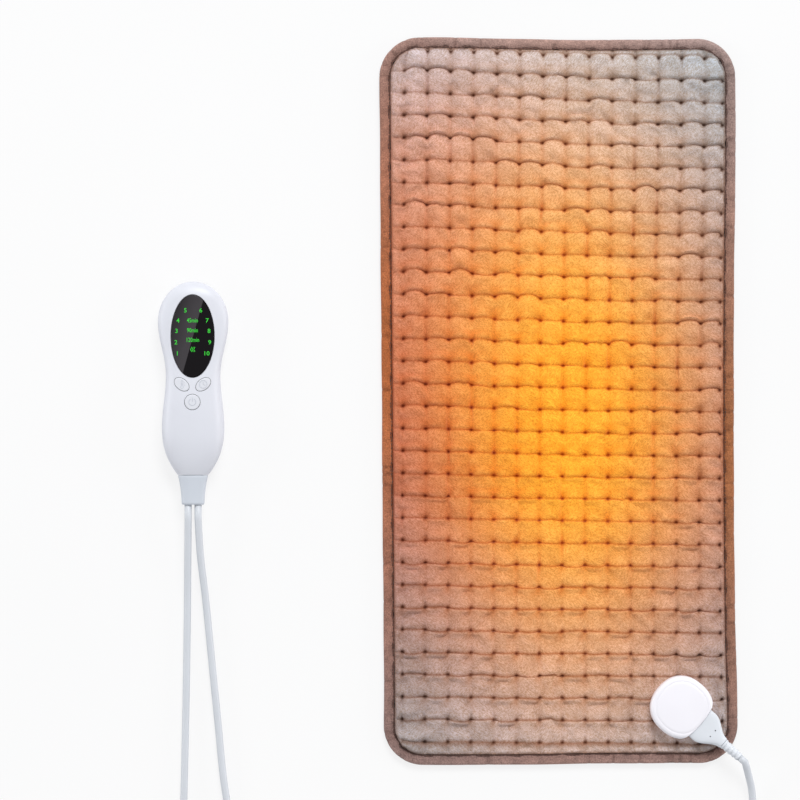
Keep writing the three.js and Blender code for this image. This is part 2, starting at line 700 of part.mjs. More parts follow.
function socketBase() {
  const top = PUCK_PARTING_Z - GAP / 2;
  const shell = puckBody(0, [[BINDING_TAPE, PUCK_Z], [0, PUCK_Z + BINDING_TAPE], [0, top]]);
  const hollow = puckBody(PUCK_WALL, [[0, puckFloorZ], [0, top + CUT_OVERRUN]]);
  const lipInset = PUCK_WALL + GAP;
  const lipOuter = puckBody(lipInset, [[0, puckFloorZ - GAP], [0, top + SOCKET_LIP_HEIGHT]]);
  const lipInner = puckBody(lipInset + SOCKET_LIP_WALL, [[0, puckFloorZ], [0, top + CUT_OVERRUN]]);
  const studs = STUD_PLACES.map((place) => rod(place, STUD_DIAMETER / 2, FELT_Z, puckFloorZ, SMALL_SIDES));
  const postHoles = contactOffsets.map((y) =>
    rod([-POST_BACK, y], PIN_DIAMETER / 2 + GAP, 0, puckFloorZ + CUT_OVERRUN, SMALL_SIDES));
  const joiner = puckBody(PUCK_WALL - GAP, [[0, puckFloorZ - GAP], [0, puckFloorZ + BINDING_TAPE]]);
  const lip = cut(join(lipOuter, joiner), lipInner);
  return cut(join(cut(shell, hollow), lip, ...studs), mouth(), ...postHoles);
}

function socketCover() {
  const low = PUCK_PARTING_Z + GAP / 2;
  const edge = PUCK_EDGE_SHARES.map(([inward, down]) =>
    [inward * PUCK_EDGE_ROUND, PUCK_TOP_Z - down * PUCK_EDGE_ROUND]);
  const shell = puckBody(0, [[0, low], ...edge]);
  const hollow = puckBody(PUCK_WALL, [
    [0, low - CUT_OVERRUN],
    [0, puckRoofZ - PUCK_WALL],
    [PUCK_WALL, puckRoofZ],
  ]);
  return cut(shell, hollow, mouth());
}

function backingPlate() {
  const plate = prism(backingPlateOutline(0), FELT_Z, FELT_Z + FELT_THICKNESS);
  return cut(plate, ...STUD_PLACES.map((place) =>
    rod(place, STUD_DIAMETER / 2 + GAP, FELT_Z - CUT_OVERRUN, FELT_Z + CUT_OVERRUN, SMALL_SIDES)));
}

function alongX(geometry, startX, y) {
  return geometry.rotateY(Math.PI / 2).translate(startX, y, PLUG_AXIS_Z);
}

function contactBlock() {
  const front = -TONGUE_REACH - 2 * GAP;
  const back = front - BLOCK_LENGTH;
  const side = BLOCK_WIDTH / 2;
  const block = box(back, front, -side, side, puckFloorZ + GAP, puckRoofZ - GAP);
  return cut(block, ...contactOffsets.map((y) => alongX(
    rod([0, 0], PIN_DIAMETER / 2 + GAP, 0, BLOCK_LENGTH + 2 * CUT_OVERRUN, SMALL_SIDES),
    back - CUT_OVERRUN, y)));
}

// Each pin lies level in the mouth and turns down behind the block, through the cloth to the wire
function contactPin(y) {
  const route = [[-PIN_TIP, PLUG_AXIS_Z], [-POST_BACK, PLUG_AXIS_Z], [-POST_BACK, CAVITY_TOP_Z]];
  return tube(route.map(([x, z]) => new THREE.Vector3(x, y, z)), PIN_DIAMETER / 2, WIRE_SIDES);
}

// Plug

const sleeveRadius = PIN_DIAMETER / 2 + GAP + SLEEVE_WALL;

function plugTongue() {
  const half = TONGUE_HEIGHT / 2;
  const side = TONGUE_WIDTH / 2;
  const bar = box(-TONGUE_REACH, TONGUE_ROOT, -side, side, PLUG_AXIS_Z - half, PLUG_AXIS_Z + half);
  const depth = SLEEVE_LENGTH + CUT_OVERRUN + GAP;
  return cut(bar, ...contactOffsets.map((y) =>
    alongX(rod([0, 0], sleeveRadius + GAP, 0, depth, SMALL_SIDES), -TONGUE_REACH - CUT_OVERRUN, y)));
}

function contactSleeve(y) {
  const bore = sleeveRadius - SLEEVE_WALL;
  const floor = SLEEVE_LENGTH - SLEEVE_WALL;
  const profile = [
    [0, SLEEVE_LENGTH],
    [sleeveRadius, SLEEVE_LENGTH],
    [sleeveRadius, 0],
    [bore, 0],
    [bore, floor],
    [0, floor],
  ];
  return alongX(turned(profile, SMALL_SIDES).rotateX(Math.PI / 2), -TONGUE_REACH + GAP / 2, y);
}

// A turned shape round the Y axis; its profile of [radius, height] starts and ends on the axis
function turned(profile, sides) {
  const wall = profile.slice(1, -1);
  const positions = [0, profile[0][1], 0, 0, profile[profile.length - 1][1], 0];
  for (const [radius, height] of wall) {
    for (const k of range(sides)) {
      const angle = (2 * Math.PI * k) / sides;
      positions.push(radius * Math.cos(angle), height, radius * Math.sin(angle));
    }
  }
  const index = (ring, k) => 2 + ring * sides + (k % sides);
  const faces = [];
  for (const k of range(sides)) {
    faces.push(0, index(0, k), index(0, k + 1));
    faces.push(1, index(wall.length - 1, k + 1), index(wall.length - 1, k));
    for (const ring of range(wall.length - 1)) {
      faces.push(index(ring, k), index(ring + 1, k), index(ring + 1, k + 1));
      faces.push(index(ring, k), index(ring + 1, k + 1), index(ring, k + 1));
    }
  }
  return closedGeometry(positions, faces);
}

function superellipse(halfWidth, halfHeight, squareness, points) {
  return range(points).map((k) => {
    const angle = (2 * Math.PI * (k + 1 / 2)) / points;
    const bulge = (value, half) => half * Math.sign(value) * Math.abs(value) ** (2 / squareness);
    return [bulge(Math.cos(angle), halfWidth), bulge(Math.sin(angle), halfHeight)];
  });
}

function plugGrip() {
  const stations = range(GRIP_BANDS + 1).map((k) => mix(-SEAM_HALF_WIDTH / 2, GRIP_LENGTH, k / GRIP_BANDS));
  const shell = loft(stations.map((x) => {
    const taper = ease((x - GRIP_TAPER_START) / (GRIP_LENGTH - GRIP_TAPER_START));
    const outline = superellipse(
      mix(GRIP_HALF_WIDTH, GRIP_NECK_HALF_WIDTH, taper),
      mix(GRIP_HALF_HEIGHT, GRIP_NECK_HALF_HEIGHT, taper),
      mix(GRIP_BASE_SQUARENESS, GRIP_NECK_SQUARENESS, taper),
      PLUG_POINTS);
    return outline.map(([y, z]) => new THREE.Vector3(x, y, PLUG_AXIS_Z + z));
  }));
  const pocketHalfWidth = TONGUE_WIDTH / 2 + GAP;
  const pocketHalfHeight = TONGUE_HEIGHT / 2 + GAP;
  const pocket = box(-CUT_OVERRUN * 2, TONGUE_ROOT + GAP, -pocketHalfWidth, pocketHalfWidth,
    PLUG_AXIS_Z - pocketHalfHeight, PLUG_AXIS_Z + pocketHalfHeight);
  return cut(shell, behindSeam(-GAP, 0, PUCK_TOP_Z + CUT_OVERRUN), pocket);
}

// Ribbed, tapered sleeve along +Y from its root at zero
function strainRelief(rootRadius, tipRadius, length, ribs) {
  const pitch = length / (ribs + 1 / 2);
  const profile = [[0, 0]];
  for (let k = 0; k <= ribs; k++) {
    const start = k * pitch;
    const crest = mix(rootRadius, tipRadius, k / ribs);
    profile.push([crest, start], [crest, start + pitch / 2]);
    const groove = crest - RELIEF_RIB;
    if (k < ribs) profile.push([groove, start + pitch / 2], [groove, start + pitch]);
  }
  profile.push([0, profile[profile.length - 1][1]]);
  return turned(profile, RELIEF_SIDES);
}

// Heating wire and what lies beside it

const socketPost = (y) => placeOnPad(-POST_BACK, y, WIRE_Z);

// The runs share the pad's width between them
const wireRunPitch = (PAD_WIDTH - 2 * WIRE_SIDE_INSET) / (WIRE_RUNS - 1);
const runX = (run) => (run - (WIRE_RUNS - 1) / 2) * wireRunPitch;
const firstRunPastSocket = WIRE_RUNS - WIRE_RUNS_PAST_SOCKET;

function heatingWireRoute() {
  const radius = wireRunPitch / 2;
  const topY = PAD_LENGTH / 2 - WIRE_TOP_INSET - radius;
  const bottomInset = (run) => (run >= firstRunPastSocket ? WIRE_SOCKET_INSET : WIRE_BOTTOM_INSET);
  const bottomY = (run) => radius - PAD_LENGTH / 2 + bottomInset(run);
  const returnY = WIRE_RETURN_INSET - PAD_LENGTH / 2;
  const [near, far] = [socketPost(contactOffsets[0]), socketPost(contactOffsets[CONTACT_COUNT - 1])];
  const route = [
    [near.x, near.y],
    [near.x - wireRunPitch, returnY],
    [runX(0) + radius / 2, returnY],
    [runX(0), returnY + radius / 2],
  ];
  const turn = (centreX, centreY, side) => range(WIRE_TURN_STEPS + 1).map((k) => {
    const angle = (Math.PI * k) / WIRE_TURN_STEPS;
    return [centreX - radius * Math.cos(angle), centreY + side * radius * Math.sin(angle)];
  });
  for (let run = 0; run + 1 < WIRE_RUNS; run++) {
    const upwards = run % 2 === 0;
    route.push(...turn(runX(run) + radius, upwards ? topY : bottomY(run), upwards ? 1 : -1));
  }
  route.push([runX(WIRE_RUNS - 1), bottomY(WIRE_RUNS)], [far.x, far.y]);
  return route.map(([x, y]) => new THREE.Vector3(x, y, WIRE_Z));
}

// A flat can between two runs, with a short lead to each of them
function thermalCutout() {
  const radius = WIRE_DIAMETER / 2;
  const leadEnd = wireRunPitch / 2 - radius - GAP;
  const can = boxAround([0, CUTOUT_AT_Y], [CUTOUT_WIDTH, CUTOUT_LENGTH, WIRE_DIAMETER], WIRE_Z - radius);
  const ends = [-leadEnd, leadEnd].map((x) => new THREE.Vector3(x, CUTOUT_AT_Y, WIRE_Z));
  const lead = tube(ends, CUTOUT_LEAD_DIAMETER / 2, WIRE_SIDES);
  return join(can, lead);
}

// The bead lies a stated way off the last run before the socket
function temperatureSensor() {
  const post = socketPost(0);
  const bend = placeOnPad(-POST_BACK - CONTACT_PITCH, 0, WIRE_Z);
  const beadEndX = runX(firstRunPastSocket - 1) + SENSOR_RUN_CLEARANCE;
  const beadEnd = new THREE.Vector3(beadEndX, post.y, WIRE_Z);
  const end = new THREE.Vector3(beadEndX + SENSOR_BEAD_LENGTH, post.y, WIRE_Z);
  const wire = tube([post, bend, end], SENSOR_WIRE_DIAMETER / 2, WIRE_SIDES);
  const beadStart = new THREE.Vector3(end.x + GAP, end.y, WIRE_Z);
  const bead = tube([beadStart, beadEnd], SENSOR_BEAD_DIAMETER / 2, WIRE_SIDES);
  const layer = boxAround([0, 0], [PAD_WIDTH, PAD_LENGTH, WIRE_DIAMETER], WIRE_Z - WIRE_DIAMETER / 2);
  return overlap(join(wire, bead), layer);
}

piece('edge_binding', edgeBinding(), MATERIALS.binding);
piece('back_cover', backCover(), MATERIALS.binding);
piece('front_cover', frontCover(), MATERIALS.flannel);
piece('carrier_felt', carrierFelt(), MATERIALS.felt);
piece('heating_wire', tube(heatingWireRoute(), WIRE_DIAMETER / 2, WIRE_SIDES), MATERIALS.heatingWire);
piece('thermal_cutout', thermalCutout(), MATERIALS.black);
piece('temperature_sensor', temperatureSensor(), MATERIALS.amber);
piece('socket_backing_plate', backingPlate(), MATERIALS.white, connector);
piece('socket_base', socketBase(), MATERIALS.white, connector);
piece('socket_cover', socketCover(), MATERIALS.white, connector);
piece('socket_contact_block', contactBlock(), MATERIALS.black, connector);
contactOffsets.forEach((y, k) => {
  piece(`socket_pin_${k + 1}`, contactPin(y), MATERIALS.brass, connector);
  piece(`plug_contact_${k + 1}`, contactSleeve(y), MATERIALS.brass, connector);
});
piece('plug_tongue', plugTongue(), MATERIALS.lead, connector);
piece('plug_grip', plugGrip(), MATERIALS.lead, connector);

const plugRelief = strainRelief(RELIEF_ROOT_RADIUS, RELIEF_TIP_RADIUS, RELIEF_LENGTH, RELIEF_RIBS);
plugRelief.rotateZ(-Math.PI / 2).translate(GRIP_LENGTH + GAP, 0, PLUG_AXIS_Z);
piece('plug_strain_relief', plugRelief, MATERIALS.lead, connector);

// Controller housing; places along it are measured from the tip of the head

handset.position.set(HANDSET_X, HANDSET_TIP_Y, 0);

function housingHalfWidth(at) {
  if (at < HEAD_LENGTH) return HEAD_HALF_WIDTH * Math.sqrt(1 - (1 - at / HEAD_LENGTH) ** 2);
  const share = (from, to) => (at - from) / (to - from);
  if (at < WAIST_AT) return mix(HEAD_HALF_WIDTH, WAIST_HALF_WIDTH, ease(share(HEAD_LENGTH, WAIST_AT)));
  if (at < BELLY_AT) return mix(WAIST_HALF_WIDTH, BELLY_HALF_WIDTH, ease(share(WAIST_AT, BELLY_AT)));
  return mix(BELLY_HALF_WIDTH, NECK_HALF_WIDTH, share(BELLY_AT, NECK_AT) ** NECK_CURVE);
}

const noseShare = (at) => (at < NOSE_LENGTH ? Math.sqrt(1 - (1 - at / NOSE_LENGTH) ** 2) : 1);

function housingTop(at) {
  const rise = ease((at - TOP_RISE_FROM) / (TOP_RISE_TO - TOP_RISE_FROM));
  const back = mix(HEAD_TOP_Z, BELLY_TOP_Z, rise);
  const fall = clamp01((at - TOP_RISE_TO) / (NECK_AT - TOP_RISE_TO)) ** NECK_CURVE;
  return mix(PARTING_Z, mix(back, NECK_TOP_Z, fall), noseShare(at));
}

function housingBase(at) {
  const rise = clamp01((at - BASE_RISE_FROM) / (NECK_AT - BASE_RISE_FROM)) ** NECK_CURVE;
  return mix(PARTING_Z, mix(-BASE_FLAT_CUT, NECK_BASE_Z, rise), noseShare(at));
}

// The points of a section lie closer together near the parting plane, where the walls are steep
function housingSection(at, inset, points) {
  const half = housingHalfWidth(at) - inset;
  const up = housingTop(at) - PARTING_Z - inset;
  const down = PARTING_Z - housingBase(at) - inset;
  return range(points).map((k) => {
    const turn = (2 * Math.PI * k) / points;
    const angle = turn - SECTION_BUNCHING_SHARE * Math.sin(2 * turn) / 2;
    const squareness = Math.sin(angle) > 0 ? TOP_SQUARENESS : BASE_SQUARENESS;
    const bulge = (value) => Math.sign(value) * Math.abs(value) ** (2 / squareness);
    const height = bulge(Math.sin(angle)) * (Math.sin(angle) > 0 ? up : down);
    return new THREE.Vector3(half * bulge(Math.cos(angle)), -at, PARTING_Z + height);
  });
}

function housingStations(start, end) {
  const nose = range(NOSE_STATIONS).map((k) => {
    const quarter = (Math.PI / 2) * ((k + NOSE_FIRST_SHARE) / NOSE_STATIONS);
    return mix(start, HEAD_LENGTH, 1 - Math.cos(quarter));
  });
  const rest = range(BODY_STATIONS + 1).map((k) => mix(HEAD_LENGTH, end, k / BODY_STATIONS));
  return [...nose, ...rest];
}

function housingLoft(inset, start, end, points) {
  return loft(housingStations(start, end).map((at) => housingSection(at, inset, points)));
}

// The housing's outline at the parting plane, moved in by an inset, as far as an end
function housingOutline(inset, end) {
  const right = housingStations(inset * NOSE_INSET_SHARE, end)
    .map((along) => [housingHalfWidth(along) - inset, -along]);
  return [...right, ...right.map(([x, y]) => [-x, y]).reverse()];
}

const HOUSING_REACH = NECK_AT + CUT_OVERRUN;
const slab = (lowZ, highZ) =>
  boxAround([0, -HOUSING_REACH / 2], [4 * HEAD_HALF_WIDTH, 2 * HOUSING_REACH, highZ - lowZ], lowZ);
const housingOuter = overlap(housingLoft(0, 0, NECK_AT, OUTER_POINTS), slab(0, BELLY_TOP_Z + CUT_OVERRUN));
const innerNose = HANDSET_WALL * NOSE_INSET_SHARE;
const housingInner = body(housingLoft(HANDSET_WALL, innerNose, NECK_AT - HANDSET_WALL, INNER_POINTS));
const raised = (solidBody, rise) => solidBody.translate(0, 0, rise);
const at = ([x, along]) => [x, -along];

// Height of the cavity's roof at a place across and along the housing
function roofZ(x, along) {
  const half = housingHalfWidth(along) - HANDSET_WALL;
  const up = housingTop(along) - PARTING_Z - HANDSET_WALL;
  const crown = (1 - Math.abs(x / half) ** TOP_SQUARENESS) ** (1 / TOP_SQUARENESS);
  return PARTING_Z + up * crown;
}

const windowOutline = (margin) =>
  ellipse(0, -WINDOW_AT, WINDOW_HALF_WIDTH + margin, WINDOW_HALF_LENGTH + margin, WINDOW_POINTS);

const OVAL_SEMI = [OVAL_SEMI_MAJOR, OVAL_SEMI_MINOR];
const BUTTONS = [
  { name: 'temperature', place: [-OVAL_SPREAD, OVAL_AT], semi: OVAL_SEMI, tilt: -OVAL_TILT_DEG },
  { name: 'timer', place: [OVAL_SPREAD, OVAL_AT], semi: OVAL_SEMI, tilt: OVAL_TILT_DEG },
  { name: 'power', place: [0, POWER_AT], semi: [POWER_RADIUS, POWER_RADIUS], tilt: 0 },
];

function buttonOutline(button, margin) {
  const [x, y] = at(button.place);
  return ellipse(x, y, button.semi[0] + margin, button.semi[1] + margin, BUTTON_POINTS, button.tilt);
}

// The flange sits just under the lowest point of the roof above it
function flangeTop(button) {
  const roof = buttonOutline(button, BUTTON_FLANGE).map(([x, y]) => roofZ(x, -y));
  return Math.min(...roof) - BUTTON_FLANGE_CLEARANCE;
}

const boardTopZ = BOARD_Z + BOARD_THICKNESS;
const plungerLowZ = boardTopZ + GAP + SWITCH_FLOOR + BUTTON_TRAVEL + GAP;
const plungerTopZ = plungerLowZ + SWITCH_PLUNGER_LENGTH;

function topShell() {
  const wall = overlap(cut(housingOuter, housingInner), slab(PARTING_Z + GAP / 2, BELLY_TOP_Z + CUT_OVERRUN));
  const under = overlap(raised(housingOuter, -HANDSET_WALL / 2), slab(PARTING_Z + GAP / 2, BELLY_TOP_Z));
  const bosses = BOSS_PLACES.map((place) =>
    overlap(rod(at(place), BOSS_RADIUS, PARTING_Z + GAP / 2, BELLY_TOP_Z, SMALL_SIDES), under));
  const pilots = BOSS_PLACES.map((place) =>
    rod(at(place), SCREW_SHANK_RADIUS + GAP, 0, SCREW_REACH_Z + GAP, SMALL_SIDES));
  const rebate = cut(prism(windowOutline(GAP), PARTING_Z, BELLY_TOP_Z + CUT_OVERRUN),
    raised(housingOuter, -WINDOW_THICKNESS - GAP));
  const opening = prism(windowOutline(-WINDOW_LEDGE), PARTING_Z, BELLY_TOP_Z + CUT_OVERRUN);
  const holes = BUTTONS.map((button) =>
    prism(buttonOutline(button, BUTTON_CLEARANCE), PARTING_Z, BELLY_TOP_Z + CUT_OVERRUN));
  return cut(join(wall, ...bosses), ...pilots, rebate, opening, ...holes, neckOpening());
}

function neckOpening() {
  const [halfWidth, halfHeight] = [BOOT_GROOVE_HALF_WIDTH + GAP, BOOT_GROOVE_HALF_HEIGHT + GAP];
  const outline = superellipse(halfWidth, halfHeight, TOP_SQUARENESS, BOOT_POINTS);
  return loft([-NECK_AT + HANDSET_WALL + GAP, -NECK_AT - CUT_OVERRUN].map((y) =>
    outline.map(([x, z]) => new THREE.Vector3(x, y, PARTING_Z + z))));
}

function bottomShell() {
  const top = PARTING_Z - GAP / 2;
  const wall = overlap(cut(housingOuter, housingInner), slab(0, top));
  const bosses = BOSS_PLACES.map((place) =>
    overlap(rod(at(place), BOSS_RADIUS, 0, top, SMALL_SIDES), housingOuter));
  const pillars = PILLAR_PLACES.map((place) =>
    rod(at(place), PILLAR_RADIUS, HANDSET_WALL / 2, BOARD_Z - GAP, SMALL_SIDES));
  const leadTop = PARTING_Z + LEAD_DIAMETER / 2;
  const clampPosts = CLAMP_SCREW_PLACES.map((place) =>
    overlap(rod(at(place), CLAMP_POST_RADIUS, 0, leadTop, SMALL_SIDES), housingOuter));
  const clampPilots = CLAMP_SCREW_PLACES.map((place) =>
    rod(at(place), CLAMP_SCREW_SHANK_RADIUS + GAP, leadTop - CLAMP_SCREW_LENGTH, BELLY_TOP_Z, SMALL_SIDES));
  const lipEnd = NECK_AT - HANDSET_WALL - LIP_END_INSET;
  const lipInset = HANDSET_WALL + LIP_CLEARANCE;
  const lip = cut(
    join(
      prism(housingOutline(HANDSET_WALL - GAP, lipEnd), top - 2 * LIP_HEIGHT, top - LIP_HEIGHT),
      prism(housingOutline(lipInset, lipEnd), top - 2 * LIP_HEIGHT, top + LIP_HEIGHT),
    ),
    prism(housingOutline(lipInset + LIP_WALL, lipEnd + CUT_OVERRUN), 0, BELLY_TOP_Z),
  );
  const headTop = SCREW_HEAD_Z + SCREW_HEAD_HEIGHT + GAP;
  const heads = BOSS_PLACES.map((place) =>
    rod(at(place), SCREW_HEAD_RADIUS + GAP, -CUT_OVERRUN, headTop, SMALL_SIDES));
  const shanks = BOSS_PLACES.map((place) =>
    rod(at(place), SCREW_SHANK_RADIUS + GAP, 0, BELLY_TOP_Z, SMALL_SIDES));
  const moulding = join(wall, ...bosses, ...pillars, ...clampPosts, lip);
  return cut(moulding, ...heads, ...shanks, ...clampPilots, neckOpening());
}

function displayWindow() {
  const plate = prism(windowOutline(0), PARTING_Z, BELLY_TOP_Z + CUT_OVERRUN);
  return cut(overlap(plate, housingOuter), raised(housingOuter, -WINDOW_THICKNESS));
}

function buttonCap(button) {
  const top = flangeTop(button);
  const low = top - BUTTON_FLANGE_THICKNESS;
  const bar = prism(buttonOutline(button, 0), low, BELLY_TOP_Z + CUT_OVERRUN);
  const cap = overlap(bar, raised(housingOuter, BUTTON_PROUD));
  const flange = prism(buttonOutline(button, BUTTON_FLANGE), low, top);
  const stem = rod(at(button.place), BUTTON_STEM_RADIUS, plungerTopZ + GAP, top, SMALL_SIDES);
  return join(cap, flange, stem);
}

function switchBase(button) {
  const low = boardTopZ + GAP;
  const housing = boxAround(at(button.place), [SWITCH_WIDTH, SWITCH_WIDTH, SWITCH_HEIGHT], low);
  const boreRadius = SWITCH_PLUNGER_RADIUS + GAP;
  const bore = rod(at(button.place), boreRadius, low + SWITCH_FLOOR, BELLY_TOP_Z, SMALL_SIDES);
  return cut(housing, bore);
}

// Control board and its components

function controlBoard() {
  const stations = range(BOARD_POINTS).map((k) => mix(BOARD_START, BOARD_END, k / (BOARD_POINTS - 1)));
  const right = stations.map((along) => [housingHalfWidth(along) - HANDSET_WALL - BOARD_MARGIN, -along]);
  const left = right.map(([x, y]) => [-x, y]).reverse();
  const plate = prism([...right, ...left], BOARD_Z, boardTopZ);
  return cut(plate, ...BOSS_PLACES.map((place) =>
    rod(at(place), BOSS_RADIUS + GAP, 0, BELLY_TOP_Z, ROUND_SIDES)));
}

function fuse() {
  const centreZ = boardTopZ + GAP + FUSE_RADIUS + FUSE_CAP_WALL;
  const capRadius = FUSE_RADIUS + FUSE_CAP_WALL;
  const profile = [
    [0, 0],
    [capRadius, 0],
    [capRadius, FUSE_CAP_LENGTH],
    [FUSE_RADIUS, FUSE_CAP_LENGTH],
    [FUSE_RADIUS, FUSE_LENGTH - FUSE_CAP_LENGTH],
    [capRadius, FUSE_LENGTH - FUSE_CAP_LENGTH],
    [capRadius, FUSE_LENGTH],
    [0, FUSE_LENGTH],
  ];
  const [x, y] = at(FUSE_AT);
  return turned(profile, SMALL_SIDES).translate(x, y - FUSE_LENGTH / 2, centreZ);
}

function powerTriac() {
  const [x, y] = at(TRIAC_AT);
  const low = boardTopZ + GAP;
  const [width, depth, height] = TRIAC_SIZE;
  const [tabWidth, tabDepth, tabHeight] = TRIAC_TAB;
  const tabPlace = [x, y + (depth - tabDepth) / 2];
  const tab = boxAround(tabPlace, [tabWidth, tabDepth, tabHeight + GAP], low + height - GAP);
  return join(boxAround([x, y], [width, depth, height], low), tab);
}

function terminalBlock() {
  const [width, depth, height] = TERMINAL_SIZE;
  const low = boardTopZ + GAP;
  const front = -TERMINAL_END;
  const block = box(-width / 2, width / 2, front, front + depth, low, low + height);
  const screwHoles = range(TERMINAL_HOLES).map((k) => {
    const x = (k - (TERMINAL_HOLES - 1) / 2) * TERMINAL_HOLE_PITCH;
    const place = [x, front + depth / 2];
    return rod(place, TERMINAL_HOLE_RADIUS, low + height / 2, low + height + CUT_OVERRUN, WIRE_SIDES);
  });
  return cut(block, ...screwHoles);
}

function cordBoot() {
  const section = (half, up, along) => superellipse(half, up, TOP_SQUARENESS, BOOT_POINTS)
    .map(([x, z]) => new THREE.Vector3(x, -along, PARTING_Z + z));
  const flangeEnd = NECK_AT - HANDSET_WALL - GAP;
  const flareStart = NECK_AT + GAP;
  const flare = range(BOOT_STATIONS).map((k) => {
    const share = k / (BOOT_STATIONS - 1);
    const rest = (1 - share) ** 2;
    const halfWidth = mix(BOOT_TIP_HALF_WIDTH, BOOT_ROOT_HALF_WIDTH, rest);
    const halfHeight = mix(BOOT_TIP_HALF_HEIGHT, BOOT_ROOT_HALF_HEIGHT, rest);
    return section(halfWidth, halfHeight, flareStart + share * BOOT_LENGTH);
  });
  return loft([
    section(BOOT_FLANGE_HALF_WIDTH, BOOT_FLANGE_HALF_HEIGHT, flangeEnd - BOOT_FLANGE_THICKNESS),
    section(BOOT_FLANGE_HALF_WIDTH, BOOT_FLANGE_HALF_HEIGHT, flangeEnd),
    section(BOOT_GROOVE_HALF_WIDTH, BOOT_GROOVE_HALF_HEIGHT, flangeEnd),
    section(BOOT_GROOVE_HALF_WIDTH, BOOT_GROOVE_HALF_HEIGHT, flareStart),
    ...flare,
  ]);
}

const bootEndAt = NECK_AT + GAP + BOOT_LENGTH;

function leadCore(side) {
  const start = NECK_AT - HANDSET_WALL - GAP - BOOT_FLANGE_THICKNESS - GAP;
  const x = (side * LEAD_SPACING) / 2;
  const ends = [start, TERMINAL_END + GAP].map((along) => new THREE.Vector3(x, -along, PARTING_Z));
  return tube(ends, LEAD_DIAMETER / 2, SMALL_SIDES);
}

const clampZ = PARTING_Z + LEAD_DIAMETER / 2 + GAP;

function cordClamp() {
  const width = 2 * (CLAMP_SCREW_PLACES[1][0] + CLAMP_POST_RADIUS);
  const bar = boxAround(at([0, CLAMP_AT]), [width, CLAMP_LENGTH, CLAMP_THICKNESS], clampZ);
  return cut(bar, ...CLAMP_SCREW_PLACES.map((place) =>
    rod(at(place), CLAMP_SCREW_SHANK_RADIUS + GAP, 0, BELLY_TOP_Z, SMALL_SIDES)));
}

function screw(place, shankRadius, headRadius, headLow, headHigh, tipZ) {
  const shank = rod(place, shankRadius, Math.min(headLow, tipZ), Math.max(headHigh, tipZ), WIRE_SIDES);
  return join(rod(place, headRadius, headLow, headHigh, SMALL_SIDES), shank);
}

piece('handset_top_shell', topShell(), MATERIALS.white, handset);
piece('handset_bottom_shell', bottomShell(), MATERIALS.white, handset);
piece('display_window', displayWindow(), MATERIALS.window, handset);
const componentZ = boardTopZ + GAP;
const displaySize = [2 * DISPLAY_HALF_WIDTH, 2 * DISPLAY_HALF_LENGTH, DISPLAY_TOP_Z - componentZ];
piece('display_module', boxAround(at([0, WINDOW_AT]), displaySize, componentZ), MATERIALS.display, handset);
piece('control_board', controlBoard(), MATERIALS.board, handset);
for (const button of BUTTONS) {
  const plunger = rod(at(button.place), SWITCH_PLUNGER_RADIUS, plungerLowZ, plungerTopZ, SMALL_SIDES);
  piece(`${button.name}_button`, buttonCap(button), MATERIALS.white, handset);
  piece(`${button.name}_switch_plunger`, plunger, MATERIALS.black, handset);
  piece(`${button.name}_switch_base`, switchBase(button), MATERIALS.black, handset);
}
const chip = boxAround(at(CHIP_AT), [CHIP_SIZE, CHIP_SIZE, CHIP_HEIGHT], componentZ);
piece('microcontroller', chip, MATERIALS.black, handset);
piece('film_capacitor', boxAround(at(CAPACITOR_AT), CAPACITOR_SIZE, componentZ), MATERIALS.amber, handset);
piece('power_triac', powerTriac(), MATERIALS.black, handset);
piece('fuse', fuse(), MATERIALS.glass, handset);
piece('terminal_block', terminalBlock(), MATERIALS.blue, handset);
piece('cord_boot', cordBoot(), MATERIALS.boot, handset);
piece('mains_lead_core', leadCore(-1), MATERIALS.lead, handset);
piece('pad_lead_core', leadCore(1), MATERIALS.lead, handset);
piece('cord_clamp', cordClamp(), MATERIALS.black, handset);
CLAMP_SCREW_PLACES.forEach((place, k) => {
  const low = clampZ + CLAMP_THICKNESS + GAP / 2;
  const [high, tip] = [low + CLAMP_SCREW_HEAD_HEIGHT, low - CLAMP_SCREW_LENGTH];
  const shape = screw(at(place), CLAMP_SCREW_SHANK_RADIUS, CLAMP_SCREW_HEAD_RADIUS, low, high, tip);
  piece(`clamp_screw_${k + 1}`, shape, MATERIALS.steel, handset);
});
BOSS_PLACES.forEach((place, k) => {
  const [low, high] = [SCREW_HEAD_Z, SCREW_HEAD_Z + SCREW_HEAD_HEIGHT];
  const shape = screw(at(place), SCREW_SHANK_RADIUS, SCREW_HEAD_RADIUS, low, high, SCREW_REACH_Z);
  piece(`housing_screw_${k + 1}`, shape, MATERIALS.steel, handset);
});

// Leads

// A smooth curve through the points, with a straight stretch at either end
function smoothRoute(points, step) {
  const [first, ...rest] = points.map(([x, y, z]) => new THREE.Vector3(x, y, z));
  const last = rest.pop();
  const curve = new THREE.CatmullRomCurve3(rest, false, 'centripetal');
  return [first, ...curve.getSpacedPoints(Math.round(curve.getLength() / step)), last];
}

// Pulls the first and last point back along the route, to leave a gap to what they meet
function trimmed(route, startGap, endGap) {
  const points = route.map((point) => point.clone());
  const last = points.length - 1;
  points[0].lerp(points[1], startGap / points[0].distanceTo(points[1]));
  points[last].lerp(points[last - 1], endGap / points[last].distanceTo(points[last - 1]));
  return points;
}

